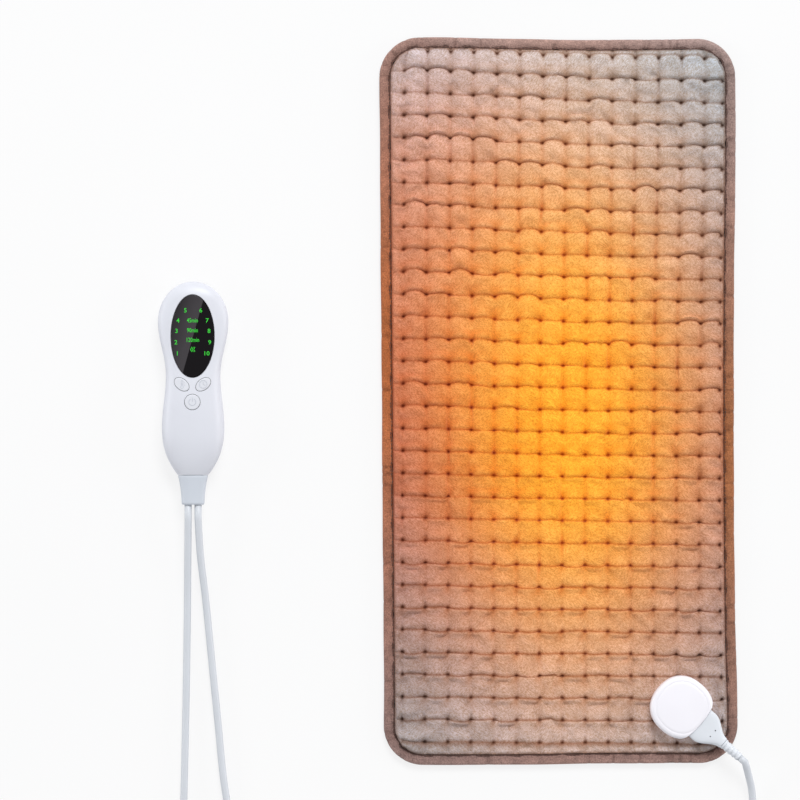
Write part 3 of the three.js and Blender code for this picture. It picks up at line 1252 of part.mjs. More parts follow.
const leadZ = LEAD_DIAMETER / 2;
const bootEndY = HANDSET_TIP_Y - bootEndAt;
const reliefEndX = GRIP_LENGTH + 2 * GAP + RELIEF_LENGTH;
const reliefEnd = placeOnPad(reliefEndX, 0, PLUG_AXIS_Z);
const reliefAhead = placeOnPad(reliefEndX + LEAD_DIAMETER, 0, PLUG_AXIS_Z);
const padLeadX = HANDSET_X + LEAD_SPACING / 2;
const mainsLeadX = HANDSET_X - LEAD_SPACING / 2;

const PAD_LEAD_ROUTE = [
  [padLeadX, bootEndY, PARTING_Z],
  [padLeadX, bootEndY - 2 * LEAD_DIAMETER, 10.6],
  [-301, -130, 7.2],
  [-297, -165, 3.4],
  [-293, -205, leadZ],
  [-287, -265, leadZ],
  [-280, -330, leadZ],
  [-270, -375, leadZ],
  [-246, -412, leadZ],
  [-205, -438, leadZ],
  [-145, -452, leadZ],
  [-75, -456, leadZ],
  [0, -450, leadZ],
  [70, -432, leadZ],
  [122, -405, leadZ],
  [153, -370, leadZ],
  [162.5, -345, leadZ],
  [162.3, -328, 5.2],
  [159, -314, 9.8],
  reliefAhead.toArray(),
  reliefEnd.toArray(),
];

const coilLowZ = TIE_THICKNESS + GAP + LEAD_DIAMETER / 2;
const coilHighZ = coilLowZ + COIL_PITCH;
const coilEdgeX = COIL_CENTRE[0] + COIL_OUTER_RADIUS;

const MAINS_LEAD_ROUTE = [
  [mainsLeadX, bootEndY, PARTING_Z],
  [mainsLeadX, bootEndY - 2 * LEAD_DIAMETER, 10.6],
  [-311.6, -130, 7.2],
  [-312, -165, 3.4],
  [-312.5, -205, leadZ],
  [-313.5, -265, leadZ],
  [-315, -330, leadZ],
  [-315.9, -365, 3.7],
  [coilEdgeX, COIL_CENTRE[1] + 2 * COIL_END_LENGTH, coilLowZ],
  [coilEdgeX, COIL_CENTRE[1] + COIL_END_LENGTH, coilLowZ],
];

// The turns run clockwise and inwards in the lower layer, climb where the spiral reverses,
// and run outwards in the upper layer
function coilRoute() {
  const turns = 2 * COIL_TURNS_PER_LAYER;
  const steps = turns * COIL_STEPS_PER_TURN;
  const route = [new THREE.Vector3(coilEdgeX, COIL_CENTRE[1] + COIL_END_LENGTH, coilLowZ)];
  for (let k = 0; k <= steps; k++) {
    const turn = k / COIL_STEPS_PER_TURN;
    const angle = -2 * Math.PI * turn;
    const inward = COIL_TURNS_PER_LAYER - Math.abs(turn - COIL_TURNS_PER_LAYER);
    const radius = COIL_OUTER_RADIUS - COIL_PITCH * inward;
    const climb = ease((turn - COIL_TURNS_PER_LAYER + 1 / 4) * 2);
    const [x, y] = [radius * Math.cos(angle), radius * Math.sin(angle)];
    route.push(new THREE.Vector3(COIL_CENTRE[0] + x, COIL_CENTRE[1] + y, mix(coilLowZ, coilHighZ, climb)));
  }
  route.push(new THREE.Vector3(coilEdgeX, COIL_CENTRE[1] - COIL_END_LENGTH, coilHighZ));
  return route;
}

// Least distance between the centrelines of stretches more than a quarter turn apart, less the diameter
function leastGapToItself(route) {
  const apart = COIL_STEPS_PER_TURN / 4;
  let least = Infinity;
  for (let a = 0; a < route.length; a++) {
    for (let b = a + apart; b + 1 < route.length; b++) {
      const stretch = new THREE.Line3(route[b], route[b + 1]);
      const nearest = stretch.closestPointToPoint(route[a], true, new THREE.Vector3());
      least = Math.min(least, nearest.distanceTo(route[a]));
    }
  }
  return least - LEAD_DIAMETER;
}

function routeLength(route) {
  return route.slice(1).reduce((sum, point, k) => sum + point.distanceTo(route[k]), 0);
}

function coilTie() {
  const innerRadius = COIL_OUTER_RADIUS - COIL_TURNS_PER_LAYER * COIL_PITCH - LEAD_DIAMETER / 2 - TIE_SLACK;
  const outerRadius = COIL_OUTER_RADIUS + LEAD_DIAMETER / 2 + TIE_SLACK / 2;
  const insideTop = coilHighZ + LEAD_DIAMETER / 2 + GAP;
  const middle = COIL_CENTRE[0];
  const edge = TIE_WIDTH / 2;
  const outside = box(middle - outerRadius - TIE_THICKNESS, middle - innerRadius + TIE_THICKNESS,
    COIL_CENTRE[1] - edge, COIL_CENTRE[1] + edge, 0, insideTop + TIE_THICKNESS);
  const inside = box(middle - outerRadius, middle - innerRadius,
    COIL_CENTRE[1] - edge - CUT_OVERRUN, COIL_CENTRE[1] + edge + CUT_OVERRUN, TIE_THICKNESS, insideTop);
  return cut(outside, inside);
}

const leadStep = LEAD_DIAMETER * 3;
const padLead = trimmed(smoothRoute(PAD_LEAD_ROUTE, leadStep), GAP, GAP);
const mainsLead = trimmed(smoothRoute(MAINS_LEAD_ROUTE, leadStep), GAP, GAP);
const coil = coilRoute();
const mainsReliefEndY = PLUG_AT_Y + MAINS_RELIEF_LENGTH + GAP;
const tailStart = new THREE.Vector3(coilEdgeX, COIL_CENTRE[1] - COIL_END_LENGTH, coilHighZ);
const tail = trimmed([
  tailStart,
  tailStart.clone().setY(tailStart.y - LEAD_DIAMETER),
  new THREE.Vector3(coilEdgeX, mainsReliefEndY + LEAD_DIAMETER, PLUG_HALF_HEIGHT),
  new THREE.Vector3(coilEdgeX, mainsReliefEndY, PLUG_HALF_HEIGHT),
], GAP, GAP);

piece('pad_lead', tube(padLead, LEAD_DIAMETER / 2, LEAD_SIDES), MATERIALS.lead);
piece('mains_lead', tube(mainsLead, LEAD_DIAMETER / 2, LEAD_SIDES), MATERIALS.lead);
piece('mains_lead_coil', tube(coil, LEAD_DIAMETER / 2, COIL_SIDES), MATERIALS.lead);
piece('mains_lead_tail', tube(tail, LEAD_DIAMETER / 2, LEAD_SIDES), MATERIALS.lead);
piece('coil_tie', coilTie(), MATERIALS.black);
console.log(`least gap of the coil to itself: ${leastGapToItself(coil).toFixed(2)} mm`);
console.log(`pad lead ${routeLength(padLead).toFixed(0)} mm, mains lead `
  + `${(routeLength(mainsLead) + routeLength(coil) + routeLength(tail)).toFixed(0)} mm`);

// Mains plug, lying on its flat side; the blades point away from the coil

function mainsPlugBody() {
  const shell = loft(PLUG_WAIST_SHARES.map(([along, fullness]) => {
    const halfWidth = mix(PLUG_REAR_HALF_WIDTH, PLUG_HALF_WIDTH, fullness);
    const halfHeight = mix(PLUG_REAR_HALF_HEIGHT, PLUG_HALF_HEIGHT + PLUG_FLAT_CUT, fullness);
    const y = PLUG_AT_Y - along * PLUG_LENGTH;
    return superellipse(halfWidth, halfHeight, PLUG_SQUARENESS, PLUG_POINTS)
      .map(([x, z]) => new THREE.Vector3(coilEdgeX + x, y, PLUG_HALF_HEIGHT + z));
  }));
  const flats = boxAround([coilEdgeX, PLUG_AT_Y], [PLUG_LENGTH, 4 * PLUG_LENGTH, 2 * PLUG_HALF_HEIGHT], 0);
  const slots = bladeBoxes(GAP).map(({ solidBox }) => solidBox);
  return cut(overlap(shell, flats), ...slots);
}

function bladeBoxes(margin) {
  const faceY = PLUG_AT_Y - PLUG_LENGTH;
  return [-1, 1].map((side) => {
    const x = coilEdgeX + (side * BLADE_SPACING) / 2;
    const halfHeight = (side > 0 ? BLADE_WIDE_WIDTH : BLADE_WIDTH) / 2 + margin;
    const halfThickness = BLADE_THICKNESS / 2 + margin;
    const [tipY, rootY] = [faceY - BLADE_LENGTH, faceY + BLADE_SEAT + margin];
    const [lowZ, highZ] = [PLUG_HALF_HEIGHT - halfHeight, PLUG_HALF_HEIGHT + halfHeight];
    const solidBox = box(x - halfThickness, x + halfThickness, tipY, rootY, lowZ, highZ);
    return { x, solidBox };
  });
}

function plugBlade({ x, solidBox }) {
  const holeY = PLUG_AT_Y - PLUG_LENGTH - BLADE_LENGTH + 2 * BLADE_HOLE_RADIUS;
  const hole = rod([0, 0], BLADE_HOLE_RADIUS, -CUT_OVERRUN, CUT_OVERRUN, SMALL_SIDES).rotateY(Math.PI / 2)
    .translate(x, holeY, PLUG_HALF_HEIGHT);
  return cut(solidBox, hole);
}

piece('mains_plug_body', mainsPlugBody(), MATERIALS.lead);
bladeBoxes(0).forEach((blade, k) => piece(`mains_plug_blade_${k + 1}`, plugBlade(blade), MATERIALS.brass));
const reliefLength = MAINS_RELIEF_LENGTH - GAP;
const mainsRelief =
  strainRelief(MAINS_RELIEF_ROOT_RADIUS, RELIEF_TIP_RADIUS, reliefLength, MAINS_RELIEF_RIBS);
mainsRelief.translate(coilEdgeX, PLUG_AT_Y + GAP, PLUG_HALF_HEIGHT);
piece('mains_plug_strain_relief', mainsRelief, MATERIALS.lead);

export default model;
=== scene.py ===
import bisect
import json
import math
import random

import bmesh
import bpy
import numpy
from mathutils import Matrix, Vector


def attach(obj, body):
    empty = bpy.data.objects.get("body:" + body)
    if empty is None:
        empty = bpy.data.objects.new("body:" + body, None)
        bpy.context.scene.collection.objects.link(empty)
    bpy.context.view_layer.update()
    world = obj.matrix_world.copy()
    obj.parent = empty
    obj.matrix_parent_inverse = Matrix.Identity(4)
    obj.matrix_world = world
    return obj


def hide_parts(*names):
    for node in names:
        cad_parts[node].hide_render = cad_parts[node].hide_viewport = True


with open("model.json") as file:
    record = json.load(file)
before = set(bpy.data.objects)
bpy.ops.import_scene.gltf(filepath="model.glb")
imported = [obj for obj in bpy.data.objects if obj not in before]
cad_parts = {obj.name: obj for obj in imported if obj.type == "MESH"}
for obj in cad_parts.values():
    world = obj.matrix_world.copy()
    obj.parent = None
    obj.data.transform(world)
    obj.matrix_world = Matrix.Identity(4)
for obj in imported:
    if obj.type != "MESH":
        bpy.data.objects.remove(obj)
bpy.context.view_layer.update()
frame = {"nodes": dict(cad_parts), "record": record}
SCENE = bpy.context.scene

MM = 0.001
TAU = 2 * math.pi


# Plain helpers

def mix(a, b, t):
    return a + (b - a) * t


def clamp(value, low=0.0, high=1.0):
    return min(max(value, low), high)


def ease(t):
    return (1 - math.cos(math.pi * clamp(t))) / 2


def smooth_step(low, high, value):
    t = clamp((value - low) / (high - low))
    return t * t * (3 - 2 * t)


def bell(away, width):
    return math.exp(-(away / width) ** 2)


def srgb(*rgb):
    """A colour given as 0 to 255 per channel, as linear RGBA."""
    def linear(c):
        c = c / 255
        return c / 12.92 if c <= 0.04045 else ((c + 0.055) / 1.055) ** 2.4
    return tuple(linear(c) for c in rgb) + (1.0,)


# Meshes and objects

def put_in_scene(name, data):
    obj = bpy.data.objects.new(name, data)
    SCENE.collection.objects.link(obj)
    return obj


def mesh_from(vertices, faces, weld=True):
    mesh = bpy.data.meshes.new("mesh")
    mesh.from_pydata([tuple(v) for v in vertices], [], faces)
    bm = bmesh.new()
    bm.from_mesh(mesh)
    if weld:
        bmesh.ops.remove_doubles(bm, verts=bm.verts, dist=1e-7)
    bmesh.ops.recalc_face_normals(bm, faces=bm.faces)
    bm.to_mesh(mesh)
    bm.free()
    return mesh


def skin(rings, join_ends=False):
    """Vertices and faces over rings of equal point counts, with closed ends or the last ring joined to the first."""
    count = len(rings[0])
    vertices = [p for ring in rings for p in ring]
    faces = []
    for band in range(len(rings) if join_ends else len(rings) - 1):
        low, high = band * count, (band + 1) % len(rings) * count
        for k in range(count):
            n = (k + 1) % count
            faces.append((low + k, low + n, high + n, high + k))
    if not join_ends:
        faces += [tuple(range(count)), tuple(range(len(vertices) - count, len(vertices)))]
    return vertices, faces


def loft(rings, join_ends=False):
    return mesh_from(*skin(rings, join_ends))


def joined(parts):
    """One mesh of several closed parts, each given as its vertices and faces."""
    vertices, faces = [], []
    for part_vertices, part_faces in parts:
        start = len(vertices)
        vertices += part_vertices
        faces += [tuple(start + k for k in face) for face in part_faces]
    return mesh_from(vertices, faces, weld=False)


def set_attribute(mesh, name, kind, key, values):
    mesh.attributes.new(name, kind, "POINT").data.foreach_set(key, values)


def carve(obj, mesh, operation="DIFFERENCE"):
    """Cuts the mesh out of an object, or keeps only what is inside it."""
    cutter = put_in_scene("cutter", mesh)
    modifier = obj.modifiers.new("carve", "BOOLEAN")
    modifier.operation = operation
    modifier.solver = "EXACT"
    modifier.object = cutter
    carved = bpy.data.meshes.new_from_object(obj.evaluated_get(bpy.context.evaluated_depsgraph_get()))
    obj.modifiers.clear()
    old = obj.data
    obj.data = carved
    bpy.data.objects.remove(cutter)
    for used in (old, mesh):
        bpy.data.meshes.remove(used)


def common(first, second):
    """The mesh of what is inside both meshes."""
    obj = put_in_scene("common", first)
    carve(obj, second, "INTERSECT")
    result = obj.data
    bpy.data.objects.remove(obj)
    return result


def piece(name, mesh, body, slot, sharp_deg=None, replaced=(), cuts=(), material=None):
    """A carved, riding object, smooth but for edges sharper than sharp_deg, in its slot's look or another one."""
    obj = put_in_scene(name, mesh)
    for cut in cuts:
        carve(obj, cut)
    mesh = obj.data
    mesh.name = name
    mesh.materials.clear()
    mesh.materials.append(LOOKS[slot] if material is None else material)
    mesh.polygons.foreach_set("material_index", [0] * len(mesh.polygons))
    mesh.polygons.foreach_set("use_smooth", [True] * len(mesh.polygons))
    if sharp_deg is not None:
        mesh.set_sharp_from_angle(angle=math.radians(sharp_deg))
    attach(obj, body)
    if replaced:
        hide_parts(*replaced)
    return obj


def metres(points):
    return [Vector(p) * MM for p in points]


def level_place(x, y, z):
    return Vector((x, y, z)) * MM


def prism(outline, low, high, place=level_place):
    """A straight-sided block over an outline, in the frame of a placing function."""
    return loft([[place(x, y, z) for x, y in outline] for z in (low, high)])


def rectangle(low_x, high_x, low_y, high_y):
    return [(low_x, low_y), (high_x, low_y), (high_x, high_y), (low_x, high_y)]


def circle(x, y, radius, count):
    return [(x + radius * math.cos(TAU * k / count), y + radius * math.sin(TAU * k / count)) for k in range(count)]


def superellipse(half_u, half_v, power, count):
    """Points round a squared oval, from +u towards +v."""
    result = []
    for k in range(count):
        a = TAU * (k + 0.5) / count
        c, s = math.cos(a), math.sin(a)
        result.append((half_u * math.copysign(abs(c) ** (2 / power), c),
                       half_v * math.copysign(abs(s) ** (2 / power), s)))
    return result


def tube_rings(points, radius, sides):
    """Rings round a route, each carried along from the last one; radius may be a list."""
    points = [Vector(p) for p in points]
    radii = radius if isinstance(radius, list) else [radius] * len(points)
    first = (points[1] - points[0]).normalized()
    upright = Vector((0, 0, 1)) if abs(first.z) < 0.7 else Vector((1, 0, 0))
    side = upright.cross(first).normalized()
    rings = []
    for k, point in enumerate(points):
        along = (points[min(k + 1, len(points) - 1)] - points[max(k - 1, 0)]).normalized()
        side = (side - along * side.dot(along)).normalized()
        up = along.cross(side)
        rings.append([point + side * x + up * y for x, y in circle(0, 0, radii[k], sides)])
    return rings


def between(first, second, low, high, at):
    """The point at a place between low, where the first one lies, and high, where the second does."""
    return first * ((high - at) / (high - low)) + second * ((at - low) / (high - low))


def catmull(points, step):
    """A centripetal Catmull-Rom curve through the points, resampled at even steps."""
    pts = [Vector(p) for p in points]
    ends = [pts[0] * 2 - pts[1]] + pts + [pts[-1] * 2 - pts[-2]]
    dense = []
    for k in range(1, len(ends) - 2):
        p = ends[k - 1:k + 3]
        t = [0.0]
        for a, b in zip(p, p[1:]):
            t.append(t[-1] + max((b - a).length, 1e-9) ** 0.5)
        for j in range(24):
            at = mix(t[1], t[2], j / 24)
            near = [between(p[i], p[i + 1], t[i], t[i + 1], at) for i in range(3)]
            wide = [between(near[i], near[i + 1], t[i], t[i + 2], at) for i in range(2)]
            dense.append(between(*wide, t[1], t[2], at))
    return resample(dense + [pts[-1]], step)


def resample(points, step):
    lengths = [0.0]
    for a, b in zip(points, points[1:]):
        lengths.append(lengths[-1] + (b - a).length)
    count = max(2, round(lengths[-1] / step))
    result = []
    at = 0
    for k in range(count + 1):
        wanted = lengths[-1] * k / count
        while at < len(points) - 2 and lengths[at + 1] < wanted:
            at += 1
        span = max(lengths[at + 1] - lengths[at], 1e-12)
        result.append(points[at].lerp(points[at + 1], clamp((wanted - lengths[at]) / span)))
    return result


# Camera: straight down, with a long lens, 1.19 pixels to the millimetre at the pad
PIXELS = 800
PIXELS_PER_MM = 1.19
VIEW_CENTRE = (-133.4 * MM, 0.6 * MM)
LENS = 200.0
SENSOR = 36.0
PAD_LEVEL = 5 * MM

view_width = PIXELS / PIXELS_PER_MM * MM
camera_data = bpy.data.cameras.new("camera")
camera_data.lens = LENS
camera_data.sensor_width = SENSOR
camera_data.clip_end = 20
camera = put_in_scene("camera", camera_data)
camera.location = (*VIEW_CENTRE, PAD_LEVEL + view_width * LENS / SENSOR)
SCENE.camera = camera
SCENE.view_settings.view_transform = "Standard"


# Materials

class Nodes:
    """Short ways to build a material's node tree."""

    def __init__(self, name):
        self.material = bpy.data.materials.new(name)
        self.material.use_nodes = True
        self.tree = self.material.node_tree
        self.tree.nodes.clear()
        self.output = self.add("OutputMaterial")
        self.shader = self.add("BsdfPrincipled")
        self.link(self.shader.outputs[0], self.output.inputs[0])
        self.coordinates = self.add("TexCoord").outputs["Object"]

    def add(self, kind, **settings):
        node = self.tree.nodes.new("ShaderNode" + kind)
        for key, value in settings.items():
            setattr(node, key, value)
        return node

    def link(self, source, target):
        self.tree.links.new(source, target)

    def put(self, target, value):
        if hasattr(value, "is_output"):
            self.link(value, target)
        else:
            target.default_value = value

    def fill(self, node, **values):
        for key, value in values.items():
            self.put(node.inputs[key.replace("_", " ")], value)
        return node.outputs[0]

    def place(self):
        node = self.add("SeparateXYZ")
        self.link(self.coordinates, node.inputs[0])
        return node.outputs

    def mapped(self, scale, turn=0.0, source=None):
        return self.fill(self.add("Mapping"), Rotation=(0, 0, turn), Scale=scale, Vector=source or self.coordinates)

    def noise(self, scale, detail=2.0, roughness=0.5, source=None, distortion=0.0):
        return self.fill(self.add("TexNoise"), Vector=source or self.coordinates, Scale=scale, Detail=detail,
                         Roughness=roughness, Distortion=distortion)

    def math(self, operation, *values):
        node = self.add("Math", operation=operation)
        for socket, value in zip(node.inputs, values):
            self.put(socket, value)
        return node.outputs[0]

    def times(self, first, *others):
        for value in others:
            first = self.math("MULTIPLY", first, value)
        return first

    def one_less(self, value):
        return self.math("SUBTRACT", 1.0, value)

    def ramp(self, value, low, high, to_low=0.0, to_high=1.0, smooth=False):
        return self.fill(self.add("MapRange", interpolation_type="SMOOTHSTEP" if smooth else "LINEAR"),
                         From_Min=low, From_Max=high, To_Min=to_low, To_Max=to_high, Value=value)

    def spread(self, noise, low, high):
        """A noise's usual range, spread evenly between two numbers."""
        return self.ramp(noise, 0.3, 0.7, low, high)

    def colour(self, factor, first, second, blend="MIX"):
        node = self.add("Mix", data_type="RGBA", blend_type=blend)
        for index, value in ((0, factor), (6, first), (7, second)):
            self.put(node.inputs[index], value)
        return node.outputs[2]

    def tinted(self, amount, colour, tint):
        """A colour, blended by an amount with itself times a tint."""
        return self.colour(amount, colour, self.colour(1.0, colour, tint, "MULTIPLY"))

    def lit(self, colour, *lights):
        """A colour times one light for each channel, or the same for all."""
        node = self.add("CombineColor")
        for k, socket in enumerate(node.inputs):
            self.put(socket, lights[k % len(lights)])
        return self.colour(1.0, colour, node.outputs[0], "MULTIPLY")

    def bump(self, height, strength, distance, under=None):
        node = self.add("Bump")
        if under is not None:
            self.link(under, node.inputs["Normal"])
        return self.fill(node, Strength=strength, Distance=distance, Height=height)

    def finish(self, colour, roughness, normal=None, **constants):
        if normal is not None:
            self.link(normal, self.shader.inputs["Normal"])
        self.fill(self.shader, Base_Color=colour, Roughness=roughness, **constants)
        return self.material


# The painted warm glow that lies over the cloth: ovals of falling strength, one over the other.
# Each has its centre and reach in metres, how sharply it falls, its greatest share and its colour.
COVER_OVALS = (
    ((-0.120, 0.097), (0.133, 0.197), 2.9, 0.55, srgb(230, 129, 16)),
    ((-0.007, -0.042), (0.190, 0.193), 1.45, 0.946, srgb(193, 47, 18)),
    ((0.014, 0.001), (0.112, 0.229), 2.2, 0.937, srgb(255, 182, 48)),
)
# the cloth's colour at the top of the pad, and darker with painted shade at its bottom
COVER_TOP = srgb(170, 192, 202)
COVER_BOTTOM = srgb(162, 179, 183)
# the painted glow on the tape, weaker
TAPE_OVALS = (
    ((0.0, 0.02), (0.11, 0.40), 2.0, 0.42, srgb(186, 120, 84)),
    ((-0.150, 0.040), (0.070, 0.225), 2.2, 0.95, srgb(174, 97, 50)),
    ((0.150, -0.045), (0.070, 0.200), 2.0, 0.88, srgb(160, 96, 50)),
)
# the tape's colour at the top of the pad, and darker with painted shade at its bottom
TAPE_TOP = srgb(143, 127, 124)
TAPE_BOTTOM = srgb(128, 111, 109)
GROUND_REACH = 0.295

NAP_SCALE = 1330.0
NAP_STRETCH = 0.35
NAP_TURNS = (36, -48)
NAP_DARK = (0.80, 0.675, 0.57, 1)
NAP_LIGHT = (1.17, 1.165, 1.23, 1)
COVER_GAIN = 1.16
# share of the painted glow that the cloth gives off as light
GLOW_SHARE = 0.50
# how the painted light and shade bend per channel: under the glow a darker place is a deeper orange, not a greyer one
GLOW_POWERS = (0.45, 1.0, 2.0)
# painted shade: tints for round the tufts, the creases, the pinholes and the tape's stitch groove, the warmer ones for
# under the glow
HALO_SHADE = (0.63, 0.55, 0.51, 1)
HALO_WARM_SHADE = (0.90, 0.56, 0.25, 1)
CREASE_SHADE = (0.52, 0.41, 0.35, 1)
CREASE_WARM_SHADE = (0.66, 0.38, 0.20, 1)
PIT_SHADE = (0.15, 0.09, 0.07, 1)
PIT_WARM_SHADE = (0.42, 0.15, 0.06, 1)
SEAM_SHADE = (0.34, 0.26, 0.24, 1)


def oval_share(n, place, centre, reach, power, share):
    """How strongly an oval tints a place."""
    squares = []
    for k in (0, 1):
        away = n.math("DIVIDE", n.math("SUBTRACT", place[k], centre[k]), reach[k])
        squares.append(n.times(away, away))
    fall = n.times(n.math("POWER", n.math("ADD", *squares), power / 2), -1.0)
    return n.times(n.math("EXPONENT", fall), share)


def glowing(n, place, top, bottom, ovals):
    """The cloth's colour from top to bottom of the pad, darker at the bottom with painted shade, under the ovals of
    painted glow.
    """
    colour = n.colour(n.ramp(place[1], GROUND_REACH, -GROUND_REACH), top, bottom)
    for *oval, tint in ovals:
        colour = n.colour(oval_share(n, place, *oval), colour, tint)
    return colour


def painted_side_shade(n, place, centre, reach, depth):
    """Painted shade: the colour darkens towards one side of the pad."""
    away = n.math("DIVIDE", n.math("SUBTRACT", place[0], centre), reach)
    return n.one_less(n.times(n.math("EXPONENT", n.times(away, away, -1.0)), depth))


def flannel_material():
    """Short slanting nap with soft patches under a painted glow, with painted shade darker and warmer in the creases
    and at the tufts, painted shade towards the sides and painted light along the top and bottom edges.
    """
    n = Nodes("cover_flannel_look")
    place = n.place()
    turned, leaning = (n.mapped((1, 1, 1), math.radians(turn)) for turn in NAP_TURNS)
    one_way, other_way = (n.noise(NAP_SCALE, 1.0, 0.6, n.mapped((NAP_STRETCH, 1, 1), source=source))
                          for source in (turned, leaning))
    upper = n.ramp(place[1], 0.05, 0.28, 0.0, 0.12)
    way = n.ramp(n.math("ADD", n.noise(38.0, 1.0), upper), 0.52, 0.60, smooth=True)
    nap = n.math("ADD", n.times(other_way, way), n.times(one_way, n.one_less(way)))
    folds = n.noise(210.0, 2.0, 0.55, n.mapped((0.42, 1, 1), source=turned), 0.6)
    # the vertices' marks: painted shade in the creases and pinholes, each cell's own tone, and the painted shade round
    # the tufts
    marks = n.add("Attribute", attribute_name="marks")
    parts = n.add("SeparateColor")
    n.link(marks.outputs["Color"], parts.inputs[0])
    crease, pit, cell = parts.outputs
    # painted light and shade over the random tone: painted shade over the folds and towards both sides, on the left
    # most at the bottom, and painted light along the top and bottom edges
    down = n.ramp(place[1], 0.3, -0.3)
    left = n.math("ADD", n.times(painted_side_shade(n, place, -0.140, 0.068, 0.24), down), n.one_less(down))
    light = n.times(n.spread(n.noise(62.0), 0.95, 1.05), n.spread(folds, 0.93, 1.07), n.ramp(cell, 0, 1, 0.955, 1.045),
                    left, painted_side_shade(n, place, 0.140, 0.080, 0.12),
                    n.ramp(place[1], 0.277, 0.296, 1.0, 1.12), n.ramp(place[1], -0.245, -0.292, 1.0, 1.10))
    warm = oval_share(n, place, (-0.01, -0.01), (0.15, 0.27), 2.4, 1.0)
    tones = [n.times(n.math("POWER", light, n.math("ADD", 1.0, n.times(warm, power - 1.0))), COVER_GAIN)
             for power in GLOW_POWERS]
    colour = n.lit(glowing(n, place, COVER_TOP, COVER_BOTTOM, COVER_OVALS), *tones)
    colour = n.colour(1.0, colour, n.colour(n.ramp(nap, 0.34, 0.66), NAP_DARK, NAP_LIGHT), "MULTIPLY")
    # painted shade in the creases, in the pinholes and round the tufts, warmer under the glow
    halo = n.times(marks.outputs["Alpha"], n.spread(nap, 0.8, 1.1))
    for amount, cool_shade, warm_shade in ((halo, HALO_SHADE, HALO_WARM_SHADE), (n.times(crease, 0.8), CREASE_SHADE, CREASE_WARM_SHADE),
                                         (n.times(pit, 0.95), PIT_SHADE, PIT_WARM_SHADE)):
        colour = n.tinted(amount, colour, n.colour(warm, cool_shade, warm_shade))
    # part of the glow is painted light that the cloth gives off though it is no lamp, so its creases stay bright
    own = n.times(warm, GLOW_SHARE)
    n.fill(n.shader, Emission_Color=colour, Emission_Strength=own)
    rough = n.bump(nap, 0.5, 0.4 * MM, n.bump(folds, 0.55, 1.6 * MM))
    return n.finish(n.lit(colour, n.one_less(own)), 0.95, rough, Sheen_Weight=0.12, Sheen_Roughness=0.5,
                    Specular_IOR_Level=0.15)


def back_cloth_material():
    """Plain brushed cloth with its own fine nap."""
    n = Nodes("back_cloth_look")
    nap = n.noise(1300.0, 3.0, 0.6, n.mapped((1.0, 0.5, 1.0)))
    colour = n.lit(srgb(176, 158, 150), n.times(n.spread(nap, 0.86, 1.12), n.spread(n.noise(40.0), 0.94, 1.05)))
    return n.finish(colour, 0.95, n.bump(nap, 0.5, 0.4 * MM), Sheen_Weight=0.15, Specular_IOR_Level=0.15)


def tape_material():
    """Brushed folded tape under a weaker painted glow: soft patches, fibres, and wrinkles across it near its bends,
    with painted shade in the wrinkles and the stitch groove, and near the pad's ends painted shade on its inner side
    and a painted highlight on its outer turn.
    """
    n = Nodes("binding_look")
    weave = n.noise(900.0, 3.0, 0.7)
    blotch = n.noise(160.0, 2.0, 0.6)
    # below nought the attribute is the painted highlight on the tape's outer turn, above it the painted shade in its
    # stitch groove, its wrinkles and its inner side
    seam = n.add("Attribute", attribute_name="seam").outputs["Fac"]
    light = n.times(n.ramp(weave, 0.32, 0.68, 0.66, 1.46), n.spread(n.noise(34.0, 3.0, 0.6), 0.86, 1.16),
                    n.spread(blotch, 0.86, 1.16), n.ramp(seam, -1.0, 0.0, 2.0, 1.0))
    colour = n.tinted(n.times(seam, 0.8), n.lit(glowing(n, n.place(), TAPE_TOP, TAPE_BOTTOM, TAPE_OVALS), light),
                      SEAM_SHADE)
    rough = n.bump(weave, 0.6, 0.5 * MM, n.bump(blotch, 0.5, 1.0 * MM))
    return n.finish(colour, 0.92, rough, Sheen_Weight=0.15, Specular_IOR_Level=0.2)


def plastic_material(name, base, roughness, grain, coat=0.0):
    """Moulded plastic: very fine grain, faint tone and gloss variation."""
    n = Nodes(name)
    cloud = n.noise(22.0)
    return n.finish(n.lit(base, n.spread(cloud, 0.98, 1.02)), n.spread(cloud, roughness * 0.9, roughness * 1.1),
                    n.bump(n.noise(2600.0), grain, 0.05 * MM), Coat_Weight=coat, Coat_Roughness=0.12)


def metal_material(name, base, roughness):
    n = Nodes(name)
    brushed = n.noise(900.0, 2.0, 0.6, n.mapped((1, 1, 0.05)))
    colour = n.colour(n.spread(brushed, 0.0, 0.12), base, srgb(110, 100, 80))
    return n.finish(colour, n.spread(brushed, roughness * 0.8, roughness * 1.25), n.bump(brushed, 0.1, 0.05 * MM),
                    Metallic=1.0)


def felt_material():
    n = Nodes("felt_look")
    fibre = n.noise(1400.0, 3.0, 0.7, n.mapped((1, 0.3, 1), 0.6))
    colour = n.colour(n.spread(fibre, 0.0, 1.0), srgb(206, 200, 192), srgb(236, 233, 228))
    return n.finish(colour, 0.95, n.bump(fibre, 0.5, 0.3 * MM), Sheen_Weight=0.2)


def board_material():
    """Circuit board: solder resist with fine tracks of lighter green."""
    n = Nodes("circuit_board_look")
    tracks = n.add("TexBrick")
    n.fill(tracks, Vector=n.mapped((260, 260, 260)), Color1=srgb(26, 96, 50), Color2=srgb(30, 104, 56),
           Mortar=srgb(62, 140, 84), Mortar_Size=0.03)
    return n.finish(tracks.outputs["Color"], 0.4, n.bump(tracks.outputs["Fac"], 0.2, 0.05 * MM))


def glass_material():
    n = Nodes("fuse_glass_look")
    return n.finish(srgb(236, 242, 244), n.spread(n.noise(300.0, 1.0), 0.03, 0.07), Transmission_Weight=0.85, IOR=1.5)


